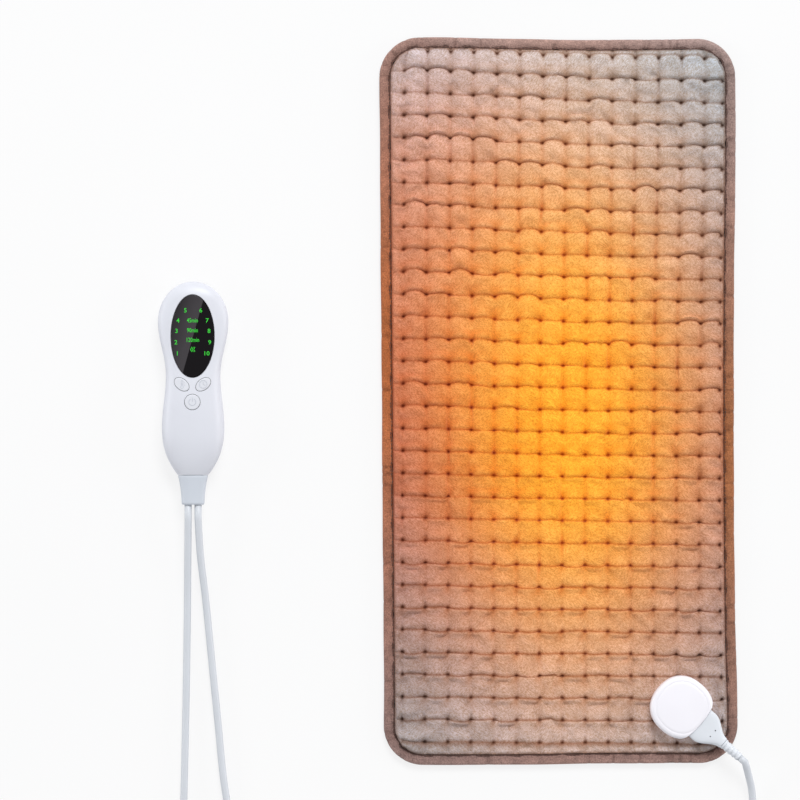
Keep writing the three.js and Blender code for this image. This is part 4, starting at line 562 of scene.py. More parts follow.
def window_material():
    """Black lens with a painted reflection: a lighter diagonal band, as a polished window reflects its surroundings."""
    n = Nodes("display_window_look")
    place = n.place()
    # the band's edge runs from the upper right to the lower left of the window
    lean = n.times(n.math("SUBTRACT", place[1], GLARE_MIDDLE[1]), GLARE_SLOPE)
    across = n.math("SUBTRACT", n.math("SUBTRACT", place[0], GLARE_MIDDLE[0]), lean)
    # the painted reflection's strength, fading away from its edge
    glare = n.times(n.ramp(across, -GLARE_EDGE, GLARE_EDGE, 1.0, 0.0, True),
                    n.ramp(across, -GLARE_REACH, 0.0, 0.30, 1.0, True), n.spread(n.noise(40.0), 0.9, 1.1))
    return n.finish(n.colour(glare, srgb(15, 12, 15), srgb(66, 63, 66)), 0.07, Specular_IOR_Level=0.10)


def figures_material():
    """Lit green figures behind the lens."""
    n = Nodes("figures_look")
    n.fill(n.shader, Emission_Strength=n.spread(n.noise(900.0, 1.0), 0.9, 1.05), Emission_Color=srgb(38, 214, 40))
    return n.finish(srgb(20, 70, 22), 0.4)


# painted shade: the near-black of a narrow hole
def gap_shade_material():
    n = Nodes("gap_shade_look")
    shade = n.ramp(n.noise(400.0, 1.0), 0.3, 0.7, smooth=True)
    return n.finish(n.colour(shade, srgb(38, 36, 40), srgb(52, 50, 54)), 0.8)


def thread_material():
    n = Nodes("stitch_look")
    twist = n.noise(1800.0, 2.0, 0.6, n.mapped((1, 1, 0.3)))
    return n.finish(n.lit(srgb(84, 62, 56), n.spread(twist, 0.8, 1.15)), 0.85, n.bump(twist, 0.4, 0.1 * MM))


def strap_material():
    n = Nodes("tie_look")
    loops = n.noise(2200.0, 2.0, 0.7)
    colour = n.colour(n.ramp(loops, 0.35, 0.65, smooth=True), srgb(26, 26, 28), srgb(60, 60, 63))
    return n.finish(colour, 0.9, n.bump(loops, 0.6, 0.2 * MM))


# Controller's place, and the edge of the painted reflection across its window
HANDSET_X = -307 * MM
HANDSET_TIP_Y = 100 * MM
WINDOW_AT = 45.9
GLARE_MIDDLE = (HANDSET_X + 0.5 * MM, HANDSET_TIP_Y - WINDOW_AT * MM)
GLARE_SLOPE = 0.28
GLARE_EDGE = 0.15 * MM
GLARE_REACH = 26 * MM

LOOKS = {
    "cover_flannel": flannel_material(),
    "binding_tape": tape_material(),
    "back_cloth": back_cloth_material(),
    "felt": felt_material(),
    "display_black": window_material(),
    "circuit_board": board_material(),
    "tie_plastic": strap_material(),
    "fuse_glass": glass_material(),
    "contact_brass": metal_material("contact_brass_look", srgb(206, 172, 92), 0.28),
    "screw_steel": metal_material("screw_steel_look", srgb(196, 200, 204), 0.3),
}
for material_slot, look, base, *finish in (
        ("white_plastic", "white_plastic", (221, 223, 231), 0.44, 0.10, 0.04),
        ("button_plastic", "button", (221, 223, 230), 0.40, 0.10, 0.04),
        ("plug_plastic", "plug_grip", (222, 226, 232), 0.42, 0.14),
        ("boot_rubber", "boot", (204, 210, 219), 0.48, 0.12),
        ("lead_sheath", "lead", (210, 214, 220), 0.42, 0.10),
        ("black_plastic", "black_plastic", (30, 30, 32), 0.5, 0.2),
        ("wire_insulation", "wire_insulation", (182, 74, 58), 0.5, 0.2),
        ("sensor_sleeve", "amber", (200, 138, 44), 0.4, 0.1),
        ("display_board", "display_module", (28, 38, 30), 0.4, 0.1),
        ("terminal_plastic", "terminal", (46, 94, 168), 0.4, 0.1)):
    LOOKS[material_slot] = plastic_material(look + "_look", srgb(*base), *finish)
MARK_GREY = plastic_material("mark_look", srgb(190, 194, 203), 0.45, 0.10)
PUCK_WHITE = plastic_material("puck_look", srgb(246, 244, 250), 0.33, 0.10, 0.15)
THREAD = thread_material()
GAP_SHADE = gap_shade_material()
FIGURES_LIT = figures_material()

for part in frame["record"]["subparts"]:
    node_materials = frame["nodes"][part["node"]].data.materials
    node_materials.clear()
    node_materials.append(LOOKS[part["material_slot"]])


# Floor, lights and surroundings

FLOOR_LEVEL = -0.4
FLOOR_HALF = 4000
FLOOR_OWN_LIGHT = 0.80
floor_mesh = mesh_from([level_place(x, y, FLOOR_LEVEL) for x, y in rectangle(*(-FLOOR_HALF, FLOOR_HALF) * 2)],
                       [(0, 1, 2, 3)])
put_in_scene("floor", floor_mesh)

floor_nodes = Nodes("floor_look")
floor_white = floor_nodes.add("Emission")
floor_tone = floor_nodes.spread(floor_nodes.noise(3.0), 0.99, 1.0)
floor_mix = floor_nodes.add("MixShader")
camera_share = floor_nodes.times(floor_nodes.add("LightPath").outputs["Is Camera Ray"], FLOOR_OWN_LIGHT)
for socket, source in zip(floor_mix.inputs, (camera_share, floor_nodes.shader.outputs[0],
                                             floor_nodes.fill(floor_white, Strength=floor_tone))):
    floor_nodes.link(source, socket)
floor_nodes.link(floor_mix.outputs[0], floor_nodes.output.inputs[0])
floor_mesh.materials.append(floor_nodes.finish((0.86, 0.86, 0.87, 1), 0.9, Specular_IOR_Level=0.1))

WORLD_STRENGTH = 0.42
WORLD_REFLECTED = 0.95
SCENE.world = bpy.data.worlds.new("studio")
SCENE.world.use_nodes = True
world_tree = SCENE.world.node_tree
world_tree.nodes.clear()
world_out, world_seen, world_lit, world_path, world_mix, world_gloss = (
    world_tree.nodes.new("ShaderNode" + kind)
    for kind in ("OutputWorld", "Background", "Background", "LightPath", "MixShader", "MapRange"))
world_gloss.inputs["To Min"].default_value = WORLD_STRENGTH
world_gloss.inputs["To Max"].default_value = WORLD_REFLECTED
world_lit.inputs["Color"].default_value = (0.97, 0.98, 1.0, 1)
world_seen.inputs["Color"].default_value = (1, 1, 1, 1)
for source, target in ((world_path.outputs["Is Glossy Ray"], world_gloss.inputs["Value"]),
                       (world_gloss.outputs[0], world_lit.inputs["Strength"]),
                       (world_path.outputs["Is Camera Ray"], world_mix.inputs[0]),
                       (world_lit.outputs[0], world_mix.inputs[1]), (world_seen.outputs[0], world_mix.inputs[2]),
                       (world_mix.outputs[0], world_out.inputs[0])):
    world_tree.links.new(source, target)

LAMP_AIM = Vector((-0.1, 0, 0))
for lamp_name, lamp_place, lamp_size, energy in (
        ("key_lamp", (1.3, 5.2, 5.3), (3.8, 2.6), 385.0), ("fill_lamp", (-3.6, -4.8, 5.7), (4.8, 3.6), 42.0),
        ("left_lamp", (-6.0, 0.4, 1.9), (3.0, 1.4), 85.0), ("right_lamp", (6.0, 0.4, 1.9), (3.0, 1.4), 85.0)):
    lamp_data = bpy.data.lights.new(lamp_name, "AREA")
    lamp_data.shape = "RECTANGLE"
    lamp_data.size, lamp_data.size_y = lamp_size
    lamp_data.energy = energy
    lamp = put_in_scene(lamp_name, lamp_data)
    lamp.location = lamp_place
    lamp.rotation_euler = (LAMP_AIM - Vector(lamp_place)).to_track_quat("-Z", "Y").to_euler()


# Leads: each a free cord along a given route, the mains lead's unseen length in a tied coil

LEAD_RADIUS = 3
LEAD_SIDES = 16
LEAD_STEP = 4 * MM
BOOT_SEAT = (-85.7, 11)
PAD_LEAD_ROUTE = (
    (-302.8, -99.2, 10.6), (-301, -130, 7.2), (-297, -165, 3.4), (-293, -205, 3), (-287, -265, 3),
    (-280, -330, 3), (-270, -375, 3), (-246, -412, 3), (-205, -438, 3), (-145, -452, 3), (-75, -456, 3),
    (0, -450, 3), (70, -432, 3), (122, -405, 3), (153, -370, 3), (162.5, -345, 3), (162.3, -328, 5.2),
    (159, -314, 9.8), (155.70, -302.76, 15.2),
)
RELIEF_END = (150.95, -298.66, 15.2)
MAINS_LEAD_ROUTE = (
    (-311.2, -99.2, 10.6), (-311.6, -130, 7.2), (-312, -165, 3.4), (-312.5, -205, 3), (-313.5, -265, 3),
    (-315, -330, 3), (-315.9, -365, 3.7), (-316, -386, 4.3),
)
COIL_CENTRE = (-361.5, -402)
COIL_RADIUS = 45.5
COIL_PITCH = 6.5
COIL_TURNS_PER_LAYER = 3
COIL_STEPS = 48
COIL_LOW = 4.3
COIL_HIGH = 10.8
COIL_JOIN = 8
PLUG_X = -316
PLUG_Y = -470
PLUG_AXIS = 7
PLUG_LEAD_ROUTE = ((PLUG_X, -416, COIL_HIGH), (PLUG_X, -428, 9.2), (PLUG_X, -439.7, 7.2))
PLUG_LEAD_END = (PLUG_X, -445.9, PLUG_AXIS)


def coil_points():
    """Turns clockwise and inwards in the lower layer, then outwards in the upper one."""
    points = [(PLUG_X, COIL_CENTRE[1] + COIL_JOIN, COIL_LOW)]
    for k in range(2 * COIL_TURNS_PER_LAYER * COIL_STEPS + 1):
        past_middle = k / COIL_STEPS - COIL_TURNS_PER_LAYER
        radius = COIL_RADIUS - COIL_PITCH * (COIL_TURNS_PER_LAYER - abs(past_middle))
        turn = TAU * k / COIL_STEPS
        points.append((COIL_CENTRE[0] + radius * math.cos(turn), COIL_CENTRE[1] - radius * math.sin(turn),
                       mix(COIL_LOW, COIL_HIGH, ease((past_middle + 0.25) * 2))))
    return points + [(PLUG_X, COIL_CENTRE[1] - COIL_JOIN, COIL_HIGH)]


def lead(name, points, replaced):
    return piece(name, loft(tube_rings(points, LEAD_RADIUS * MM, LEAD_SIDES)), "cord_set", "lead_sheath",
                 replaced=replaced)


pad_lead_points = metres([(-302.8, *BOOT_SEAT)]) + catmull(metres(PAD_LEAD_ROUTE), LEAD_STEP) + metres([RELIEF_END])
mains_lead_points = metres([(-311.2, *BOOT_SEAT)]) + catmull(metres(MAINS_LEAD_ROUTE), LEAD_STEP) \
    + metres(coil_points()) + catmull(metres(PLUG_LEAD_ROUTE), LEAD_STEP) + metres([PLUG_LEAD_END])
pad_lead = lead("pad_lead_flex", pad_lead_points, ["pad_lead"])
mains_lead = lead("mains_lead_flex", mains_lead_points, ["mains_lead", "mains_lead_coil", "mains_lead_tail"])


# Pad: outline and lattice of tufts

PAD_HALF = (149.0, 305.0)
PAD_CORNER = 33.0
COVER_INSET = 9.5
COVER_HALF = (PAD_HALF[0] - COVER_INSET, PAD_HALF[1] - COVER_INSET)
COVER_CORNER = PAD_CORNER - COVER_INSET
COVER_EDGE_Z = 7.0
COVER_LEAST_Z = 5.6
COVER_FLOOR_Z = 5.4
LAST_COLUMN = 14
LAST_ROW = 31
TUFT_PITCH = (19.27, 18.64)
TUFT_FIRST = (-130.8, 291.55)
COLUMN_LEAN = 0.0106
ROW_TILTS = (-0.0335, -0.0112)
TUFT_LOW_Z = 7.2
CROWN = 3.4
CREASE_BOW = 1.6
TOP_ROW_BOW = 3.4
SQUEEZE_ROOM = 8.0
RIM_REACH = 7.5
PULL = 1.2

U_STOPS = (0.0, 0.05, 0.12, 0.21, 0.32, 0.44, 0.56, 0.68, 0.79, 0.88, 0.95)
V_STOPS = (0.0, 0.035, 0.09, 0.17, 0.28, 0.41, 0.55, 0.68, 0.79, 0.88, 0.95)
BORDER_STOPS = (1.0, 0.97, 0.9, 0.8, 0.68, 0.54, 0.4, 0.28, 0.17, 0.08)
BACK_STOPS = (0.0, 0.12, 0.3, 0.5, 0.7, 0.88)
SIM_STOPS = (0.0, 0.12, 0.28, 0.46, 0.64, 0.82)
SIM_BORDER = (1.0, 0.75, 0.5, 0.25)

rng = random.Random(11)


def per_cell(low, high, least=-math.inf):
    return [[max(least, rng.uniform(low, high)) for _ in range(LAST_ROW + 2)] for _ in range(LAST_COLUMN + 2)]


cell_height = per_cell(0.84, 1.12)
cell_tint = per_cell(-1, 1)
crease_bow = per_cell(-0.1, 1.7)
pucker_depth = per_cell(-0.08, 0.40, 0.0)
fold_phase = per_cell(0, TAU)
fold_size = per_cell(-0.9, 1.1, 0.0)
pull_size = per_cell(0.35, 1.25)
ripples = [(rng.uniform(0.25, 0.75), rng.uniform(0, TAU), rng.uniform(0, TAU)) for _ in range(9)]


def lattice_stops(stops, border):
    """Grid lines along and down the pad: through every cell, and on through the border on both sides."""
    return [[-s for s in border] + [cell + stop for cell in range(cells) for stop in stops] + [float(cells)]
            + [cells + s for s in reversed(border)] for cells, stops in zip((LAST_COLUMN, LAST_ROW), stops)]


def cell_at(u, v):
    """The nearest place within the lattice, its cell's column and row, and how far outside the lattice u and v are."""
    cu, cv = clamp(u, 0, LAST_COLUMN), clamp(v, 0, LAST_ROW)
    return cu, cv, min(int(cu), LAST_COLUMN - 1), min(int(cv), LAST_ROW - 1), abs(u - cu), abs(v - cv)


def ripple_at(x, y):
    """Low swells in the cloth, from a few seeded waves."""
    return sum(math.sin(f * (x * math.cos(a) + y * math.sin(a)) + p) for f, a, p in ripples) / len(ripples)


def squeeze(value, half):
    """Keeps a place inside the edge, softly."""
    size = abs(value)
    if size > half - SQUEEZE_ROOM:
        size = half - SQUEEZE_ROOM * math.exp(-(size - (half - SQUEEZE_ROOM)) / SQUEEZE_ROOM)
    return math.copysign(size, value)


def lattice_place(u, v):
    """Place of a lattice point inside the cover's edge, with the creases bowed between the tufts."""
    y = TUFT_FIRST[1] - TUFT_PITCH[1] * v
    x = TUFT_FIRST[0] + TUFT_PITCH[0] * u + COLUMN_LEAN * y
    y += mix(*ROW_TILTS, 0.5 - y / (2 * PAD_HALF[1])) * x
    _, _, column, row, _, _ = cell_at(u, v)
    fu, fv = u - column, v - row
    bows = [CREASE_BOW * clamp((y + 75) / 120, -0.5, 1) * crease_bow[column][row + k] for k in (0, 1)]
    x, y = squeeze(x, COVER_HALF[0]), squeeze(y, COVER_HALF[1])
    if row == 0:
        bows[0] = min(TOP_ROW_BOW, COVER_HALF[1] - 0.3 - y)
    return x, y + mix(*bows, fv) * (4 * fu * (1 - fu)) ** 0.85


def cover_place(u, v):
    """As lattice_place, and on through the border to the cover's rounded edge."""
    cu, cv, _, _, out_u, out_v = cell_at(u, v)
    x, y = lattice_place(cu, cv)
    x = mix(x, math.copysign(COVER_HALF[0], u - 1), out_u)
    y = mix(y, math.copysign(COVER_HALF[1], 1 - v), out_v)
    a, b = ((abs(at) - (half - COVER_CORNER)) / COVER_CORNER for at, half in zip((x, y), COVER_HALF))
    if a > 0 and b > 0:
        x = math.copysign(COVER_HALF[0] - COVER_CORNER * (1 - a * math.sqrt(1 - b * b / 2)), x)
        y = math.copysign(COVER_HALF[1] - COVER_CORNER * (1 - b * math.sqrt(1 - a * a / 2)), y)
    return x, y


def edge_distance(x, y):
    """Distance inwards from the cover's rounded edge."""
    a, b = (abs(at) - (half - COVER_CORNER) for at, half in zip((x, y), COVER_HALF))
    return COVER_CORNER - math.hypot(max(a, 0), max(b, 0)) - min(max(a, b), 0)


def rim_at(x, y):
    """How far inside the cover's rounded rim a place is, 0 to 1, evenly and as the rim's height."""
    inside = clamp(edge_distance(x, y) / RIM_REACH)
    return inside, (1 - (1 - inside) ** 2.4) ** 0.5


def puff_across(fv, outside_v):
    """Share of the crown's height between two creases."""
    return (1 - abs(2 * fv - 1) ** 3.0) ** 0.58 if outside_v == 0 else 0.0


def sewn_height(u, v, y):
    """Height over the tufts' level before the cloth is blown up."""
    cu, cv, column, row, outside_u, outside_v = cell_at(u, v)
    fu = cu - column
    near_column = min(fu, 1 - fu) * TUFT_PITCH[0]
    pucker = pucker_depth[column + (fu > 0.5)][row] * bell(near_column, 2.6) * mix(1, 0.45, smooth_step(60, -120, y))
    crown = CROWN * cell_height[column][row] * (1 - pucker * (1 - outside_u))
    ridge = 1.15 * (4 * fu * (1 - fu)) ** 0.7
    if outside_u > 0:
        ridge = 1.5 * math.sin(math.pi * min(outside_u, 1)) ** 0.6
    if outside_v > 0:
        ridge = mix(ridge, 0.1, outside_v) if v < 0 else ridge + 1.5 * math.sin(math.pi * outside_v) ** 0.6
    return mix(ridge, crown, puff_across(cv - row, outside_v))


def left_out(column, row):
    """The four tufts that the rounded corners leave no room for."""
    return column in (0, LAST_COLUMN) and row in (0, LAST_ROW)


# The cover's cloth simulation

SIM_FRAMES = 16
SIM_CAP = 3.0 * MM
START_SHARE = 0.75
CREASE_HOLD = 0.35
CLOTH_SLACK = 0.07


def hold_at(u, v):
    """How firmly a point of the cover is held: the tufts and the edge fully, the creases in part."""
    if u <= -1 or v <= -1 or u >= LAST_COLUMN + 1 or v >= LAST_ROW + 1:
        return 1.0
    on_crease = abs(v - round(v)) < 0.001 and 0 <= v <= LAST_ROW
    across = 0 <= u <= LAST_COLUMN
    if on_crease and across and abs(u - round(u)) < 0.001 and not left_out(round(u), round(v)):
        return 1.0
    return CREASE_HOLD if on_crease and across else 0.0


def blown_cover(us, vs):
    """The cover's cloth, slightly too large, blown up between its tufts. Gives its points row by row."""
    start = []
    for v in vs:
        for u in us:
            x, y = cover_place(u, v)
            inside, rim = rim_at(x, y)
            start.append(level_place(x, y, mix(COVER_EDGE_Z, TUFT_LOW_Z, inside)
                                     + START_SHARE * sewn_height(u, v, y) * rim))
    blank = put_in_scene("cover_blank", mesh_from(start, grid_faces(len(us), len(vs))))
    held = blank.vertex_groups.new(name="held")
    for k in range(len(start)):
        held.add([k], hold_at(us[k % len(us)], vs[k // len(us)]), "REPLACE")
    cloth = blank.modifiers.new("cloth", "CLOTH")
    cloth.point_cache.frame_start, cloth.point_cache.frame_end = 1, SIM_FRAMES
    cloth.collision_settings.use_collision = False
    for key, value in dict(quality=5, mass=0.1, tension_stiffness=12, compression_stiffness=12, shear_stiffness=4,
                           bending_stiffness=0.02, use_pressure=True, uniform_pressure_force=4,
                           shrink_min=-CLOTH_SLACK, vertex_group_mass="held", pin_stiffness=1).items():
        setattr(cloth.settings, key, value)
    cloth.settings.effector_weights.gravity = 0
    for frame_number in range(1, SIM_FRAMES + 1):
        SCENE.frame_set(frame_number)
    settled = blank.evaluated_get(bpy.context.evaluated_depsgraph_get()).to_mesh()
    moves = [point.co - first for point, first in zip(settled.vertices, start)]
    SCENE.frame_set(1)
    bpy.data.objects.remove(blank)
    return [first + move * min(1.0, SIM_CAP / max(move.length, 1e-9)) for first, move in zip(start, moves)]


def spread_weights(fine, coarse, corners):
    """Weights of a smooth curve's fine points on its coarse stops; the curve may have a corner at some."""
    weights = numpy.zeros((len(fine), len(coarse)))
    for k, at in enumerate(fine):
        i = min(max(bisect.bisect_right(coarse, at + 1e-9) - 1, 0), len(coarse) - 2)
        t = (at - coarse[i]) / (coarse[i + 1] - coarse[i])
        before, first, second, after = ((-t + 2 * t * t - t ** 3) / 2, (2 - 5 * t * t + 3 * t ** 3) / 2,
                                        (t + 4 * t * t - 3 * t ** 3) / 2, (t ** 3 - t * t) / 2)
        weights[k, i] += first
        weights[k, i + 1] += second
        # past an end or a corner the curve goes straight on
        for own, other, beyond, share, last in ((i, i + 1, i - 1, before, i == 0),
                                                (i + 1, i, i + 2, after, i + 2 == len(coarse))):
            if last or corners and coarse[own] == int(coarse[own]):
                weights[k, own] += 2 * share
                weights[k, other] -= share
            else:
                weights[k, beyond] += share
    return weights


def tuft_detail(u, v, x, y):
    """Fine relief on the blown-up cloth, with how deep in a crease, a pinhole and its surround a point is, for the
    painted shade there.
    """
    cu, cv, _, row, outside_u, outside_v = cell_at(u, v)
    column_near, row_near = round(cu), round(cv)
    pull = pull_size[column_near][row_near]
    tx, ty = lattice_place(column_near, row_near)
    dx, dy = x - tx, y - ty
    r = math.hypot(dx, dy)
    if left_out(column_near, row_near):
        dx, dy, r = 3 * dx, 3 * dy, r + TUFT_PITCH[0]
    turn = math.atan2(dy, dx)
    height = 0.34 * math.cos(6 * turn + fold_phase[column_near][row_near]) * bell(r - 4.4, 2.4)
    height -= 1.0 * bell(r, 1.2) + 0.5 * bell(r, 3.0)
    # the cloth draws down to each pinhole, from above it in the upper rows and from below it in the lowest
    tail_down = smooth_step(-60, -190, y)
    rise = mix(max(dy, 0), max(-dy, 0), tail_down)
    back_off = mix(max(-dy, 0), max(dy, 0), tail_down)
    lower_share = mix(1.0, 0.85, smooth_step(20, -150, y))
    height -= PULL * lower_share * pull * bell(dx, 2.6) * bell(rise, 6.5) * bell(back_off, 2.8)
    # diagonal folds run down from the pinholes, most of all in the lower half
    along, across = (-dx - dy) / math.sqrt(2), (dx - dy) / math.sqrt(2)
    fold = fold_size[column_near][row_near] * mix(0.35, 1.0, smooth_step(60, -200, y))
    height -= fold * bell(across, 1.5) * smooth_step(0, 3, along) * smooth_step(13, 5, along)
    height += 0.28 * ripple_at(x, y) * puff_across(cv - row, outside_v)
    # how much painted shade the point gets in a crease, in a pinhole and round the tuft
    crease = bell(abs(cv - row_near) * TUFT_PITCH[1], mix(0.9, 1.05, tail_down)) * mix(1.0, 1.22, tail_down)
    crease *= (1 - 0.8 * outside_u) * (1 - smooth_step(0, 0.6, outside_v))
    pit = math.exp(-(r / 1.45) ** 2.4)
    slant = dx + 0.35 * tail_down * rise
    spread = mix(1.3, 1.0, tail_down) * mix(0.8, 1.2, clamp(pull))
    halo = lower_share * math.exp(-(slant / (spread * (1.9 + 0.42 * rise))) ** 2 - (rise / (6.2 * spread)) ** 1.8
                                  - (back_off / 2.0) ** 2)
    # the valley between two puffs of a row, where the cloth is drawn in, gets painted shade too
    valley = clamp(2.6 * pucker_depth[column_near][row]) * (1 - 0.7 * tail_down)
    halo = max(halo, 0.55 * valley * bell((cu - column_near) * TUFT_PITCH[0], 2.3))
    return height, crease, pit, halo


def warped(x, y, z):
    """The pad's cloth isn't quite straight: its sides and ends sway by up to two millimetres."""
    left = -1.9 * clamp(y / 250, -1, 1)
    right = -1.5 * max(0.0, 1 - (y / 200) ** 2) + 1.8 * smooth_step(-190, -270, y)
    top = -1.5 * bell(x - 40, 75) + 0.8 * bell(x + 95, 40)
    bottom = -1.5 * smooth_step(60, -60, x)
    side, end = ((at + half) / (2 * half) for at, half in zip((x, y), PAD_HALF))
    return level_place(x + mix(left, right, side), y + mix(bottom, top, end), z)


def grid_faces(width, height, start=0, flip=False):
    faces = []
    for j in range(height - 1):
        for i in range(width - 1):
            a = start + j * width + i
            face = (a, a + 1, a + width + 1, a + width)
            faces.append(face if flip else face[::-1])
    return faces


def border_loop(width, height):
    """Indices round the grid's border, in one direction."""
    return list(range(width)) + [j * width + width - 1 for j in range(1, height)] \
        + [(height - 1) * width + i for i in range(width - 2, -1, -1)] + [j * width for j in range(height - 2, 0, -1)]


def wall_faces(low, high):
    """A band of faces between two loops of indices."""
    return [(low[k - 1], low[k], high[k], high[k - 1]) for k in range(len(low))]


def tufted_cover():
    us, vs = lattice_stops((U_STOPS, V_STOPS), BORDER_STOPS)
    coarse_us, coarse_vs = lattice_stops((SIM_STOPS, SIM_STOPS), SIM_BORDER)
    blown = numpy.array(blown_cover(coarse_us, coarse_vs)).reshape(len(coarse_vs), len(coarse_us), 3) / MM
    along, down = spread_weights(us, coarse_us, False), spread_weights(vs, coarse_vs, True)
    smooth = numpy.einsum("jb,bac,ia->jic", down, blown, along)
    points, marks = [], []
    for j, v in enumerate(vs):
        for i, u in enumerate(us):
            x, y, z = smooth[j, i]
            detail, crease, pit, halo = tuft_detail(u, v, x, y)
            points.append(warped(x, y, max(z + detail * rim_at(x, y)[1], COVER_LEAST_Z)))
            _, _, column, row, _, _ = cell_at(u, v)
            # painted shade on the cover where it runs in under the tape, given in the crease mark
            under_tape = bell(max(edge_distance(x, y) - 0.2, 0), 1.1)
            marks += [max(crease, under_tape), pit, 0.5 + 0.5 * cell_tint[column][row], halo]
    loop = border_loop(len(us), len(vs))
    skirt = list(range(len(points), len(points) + len(loop)))
    points += [Vector((points[k].x, points[k].y, COVER_FLOOR_Z * MM)) for k in loop]
    # the skirt wall gets the full painted shade of a crease
    marks += [1.0, 0.0, 0.5, 0.0] * len(loop)
    mesh = mesh_from(points, grid_faces(len(us), len(vs)) + wall_faces(loop, skirt) + [tuple(skirt)], weld=False)
    set_attribute(mesh, "marks", "FLOAT_COLOR", "color", marks)
    cover = piece("tufted_cover", mesh, "pad", "cover_flannel", 70, ["front_cover"])


# Edge tape, its stitches, and the back cloth

SIDE_X, SIDE_Y = PAD_HALF[0] - PAD_CORNER, PAD_HALF[1] - PAD_CORNER
QUARTER = math.pi / 2
BINDING_WIDTH = 9.2
BINDING_ROUND = 3.2
BINDING_STATIONS = 1440
# painted highlight: how much paler the tape's outer turn is at the pad's top and bottom
END_HIGHLIGHT = (0.14, 0.42)
# the section's points in the groove that the stitches pull in, counted from the outer foot
SEAM_POINTS = (13, 14, 15, 16)
STITCH_INSET = 1.1
STITCH_LENGTH = 2.3
STITCH_PITCH = 3.15
STITCH_RADIUS = 0.34
STITCH_LEVELS = (5.98, 0.28)
# the bar's rounded ends: places along a stitch and the radius there
STITCH_SHAPE = ((0.0, 0.35), (0.12, 0.9), (0.5, 1.0), (0.88, 0.9), (1.0, 0.35))
CREASE_REACH = 5
TAPE_WAY = 1760
BACK_THICK = 0.8

tape_rng = random.Random(5)
tape_creases = [(tape_rng.random(), tape_rng.uniform(0.35, 1.0), tape_rng.uniform(0.9, 1.7)) for _ in range(84)]


def outline_point(share, inset):
    """Point on the pad's outline, or inside it; share runs 0 to 1 anticlockwise from the right side's foot."""
    spans = [2 * SIDE_Y, QUARTER * PAD_CORNER, 2 * SIDE_X, QUARTER * PAD_CORNER] * 2
    at = (share % 1.0) * sum(spans)
    k = 0
    while at > spans[k]:
        at -= spans[k]
        k += 1
    side = k // 2
    if k % 2 == 0:
        normal = Vector((math.cos(QUARTER * side), math.sin(QUARTER * side)))
        half, far = (SIDE_Y, PAD_HALF[0]) if side % 2 == 0 else (SIDE_X, PAD_HALF[1])
        return normal * (far - inset) + Vector((-normal.y, normal.x)) * (at - half)
    angle = QUARTER * side + at / PAD_CORNER
    corner = Vector((SIDE_X * (-1, 1)[side in (0, 3)], SIDE_Y * (-1, 1)[side in (0, 1)]))
    return corner + Vector((math.cos(angle), math.sin(angle))) * (PAD_CORNER - inset)


def tape_crease(share):
    """Depth of the short wrinkles across the tape at a place round it."""
    depth = 0.0
    for at, size, wide in tape_creases:
        away = abs((share - at + 0.5) % 1.0 - 0.5) * TAPE_WAY
        if away < CREASE_REACH:
            depth = max(depth, size * bell(away, wide))
    return depth


def waves(share, *each):
    """Sum of seeded waves round the pad, each given as its size, count and phase."""
    return sum(size * math.sin(TAU * count * share + phase) for size, count, phase in each)


def edge_wave(share):
    """How far the tape's inner edge sways from its line."""
    return waves(share, (0.42, 71, 0.4), (0.30, 117, 2.0), (0.20, 211, 1.0))


def binding_section(share):
    """The tape's folded section, with the small waves that its stitches draw in."""
    lift = waves(share, (0.16, 63, 1.1), (0.10, 149, 0.3))
    sway = waves(share, (0.12, 23, 0.8), (0.10, 9, 2.6))
    crease = 0.75 * tape_crease(share)
    edge = BINDING_WIDTH + edge_wave(share)
    fold = []
    for k in range(9):
        angle = math.pi * k / 8
        inset, z = BINDING_ROUND * (1 - math.sin(angle)) + 0.25 + sway, BINDING_ROUND * (1 - math.cos(angle))
        fold.append((inset + 0.35 * crease * (z > 0.5), z - 0.6 * crease * (z > 3)))
    top = [(4.5 + sway, 6.72 + 0.4 * lift - crease), (5.9, 6.6 + lift - crease), (7.1, 6.25 + lift - 0.8 * crease),
           (edge - 1.5, 5.95 + 0.5 * lift), (edge - 1.1, 5.84), (edge - 0.6, 6.0), (edge, 5.95), (edge, 5.55)]
    slot = [(2.0, 5.4), (2.0, 1.0), (BINDING_WIDTH, 1.0), (BINDING_WIDTH, 0.0), (6.0, 0.0)]
    return fold + top + slot


def edge_tape():
    rings, seam = [], []
    for k in range(BINDING_STATIONS):
        share = k / BINDING_STATIONS
        ring = []
        for j, (inset, z) in enumerate(binding_section(share)):
            point = outline_point(share, inset)
            ring.append(warped(*point, z))
            # painted shade in the stitch groove and the wrinkles; near the pad's top and bottom, painted shade on the
            # tape's inner side and a painted highlight on its outer turn
            at_end = smooth_step(PAD_HALF[1] - 26, PAD_HALF[1] - 10, abs(point.y))
            pale = END_HIGHLIGHT[point.y <= 0] * smooth_step(5.5, 0.5, inset)
            shade = 0.30 * smooth_step(4.0, 8.4, inset)
            seam.append(1.0 if j in SEAM_POINTS else 0.55 * tape_crease(share) + at_end * (shade - pale))
        rings.append(ring)
    mesh = loft(rings, join_ends=True)
    set_attribute(mesh, "seam", "FLOAT", "value", seam)
    return piece("edge_tape", mesh, "pad", "binding_tape", 60, ["edge_binding"])


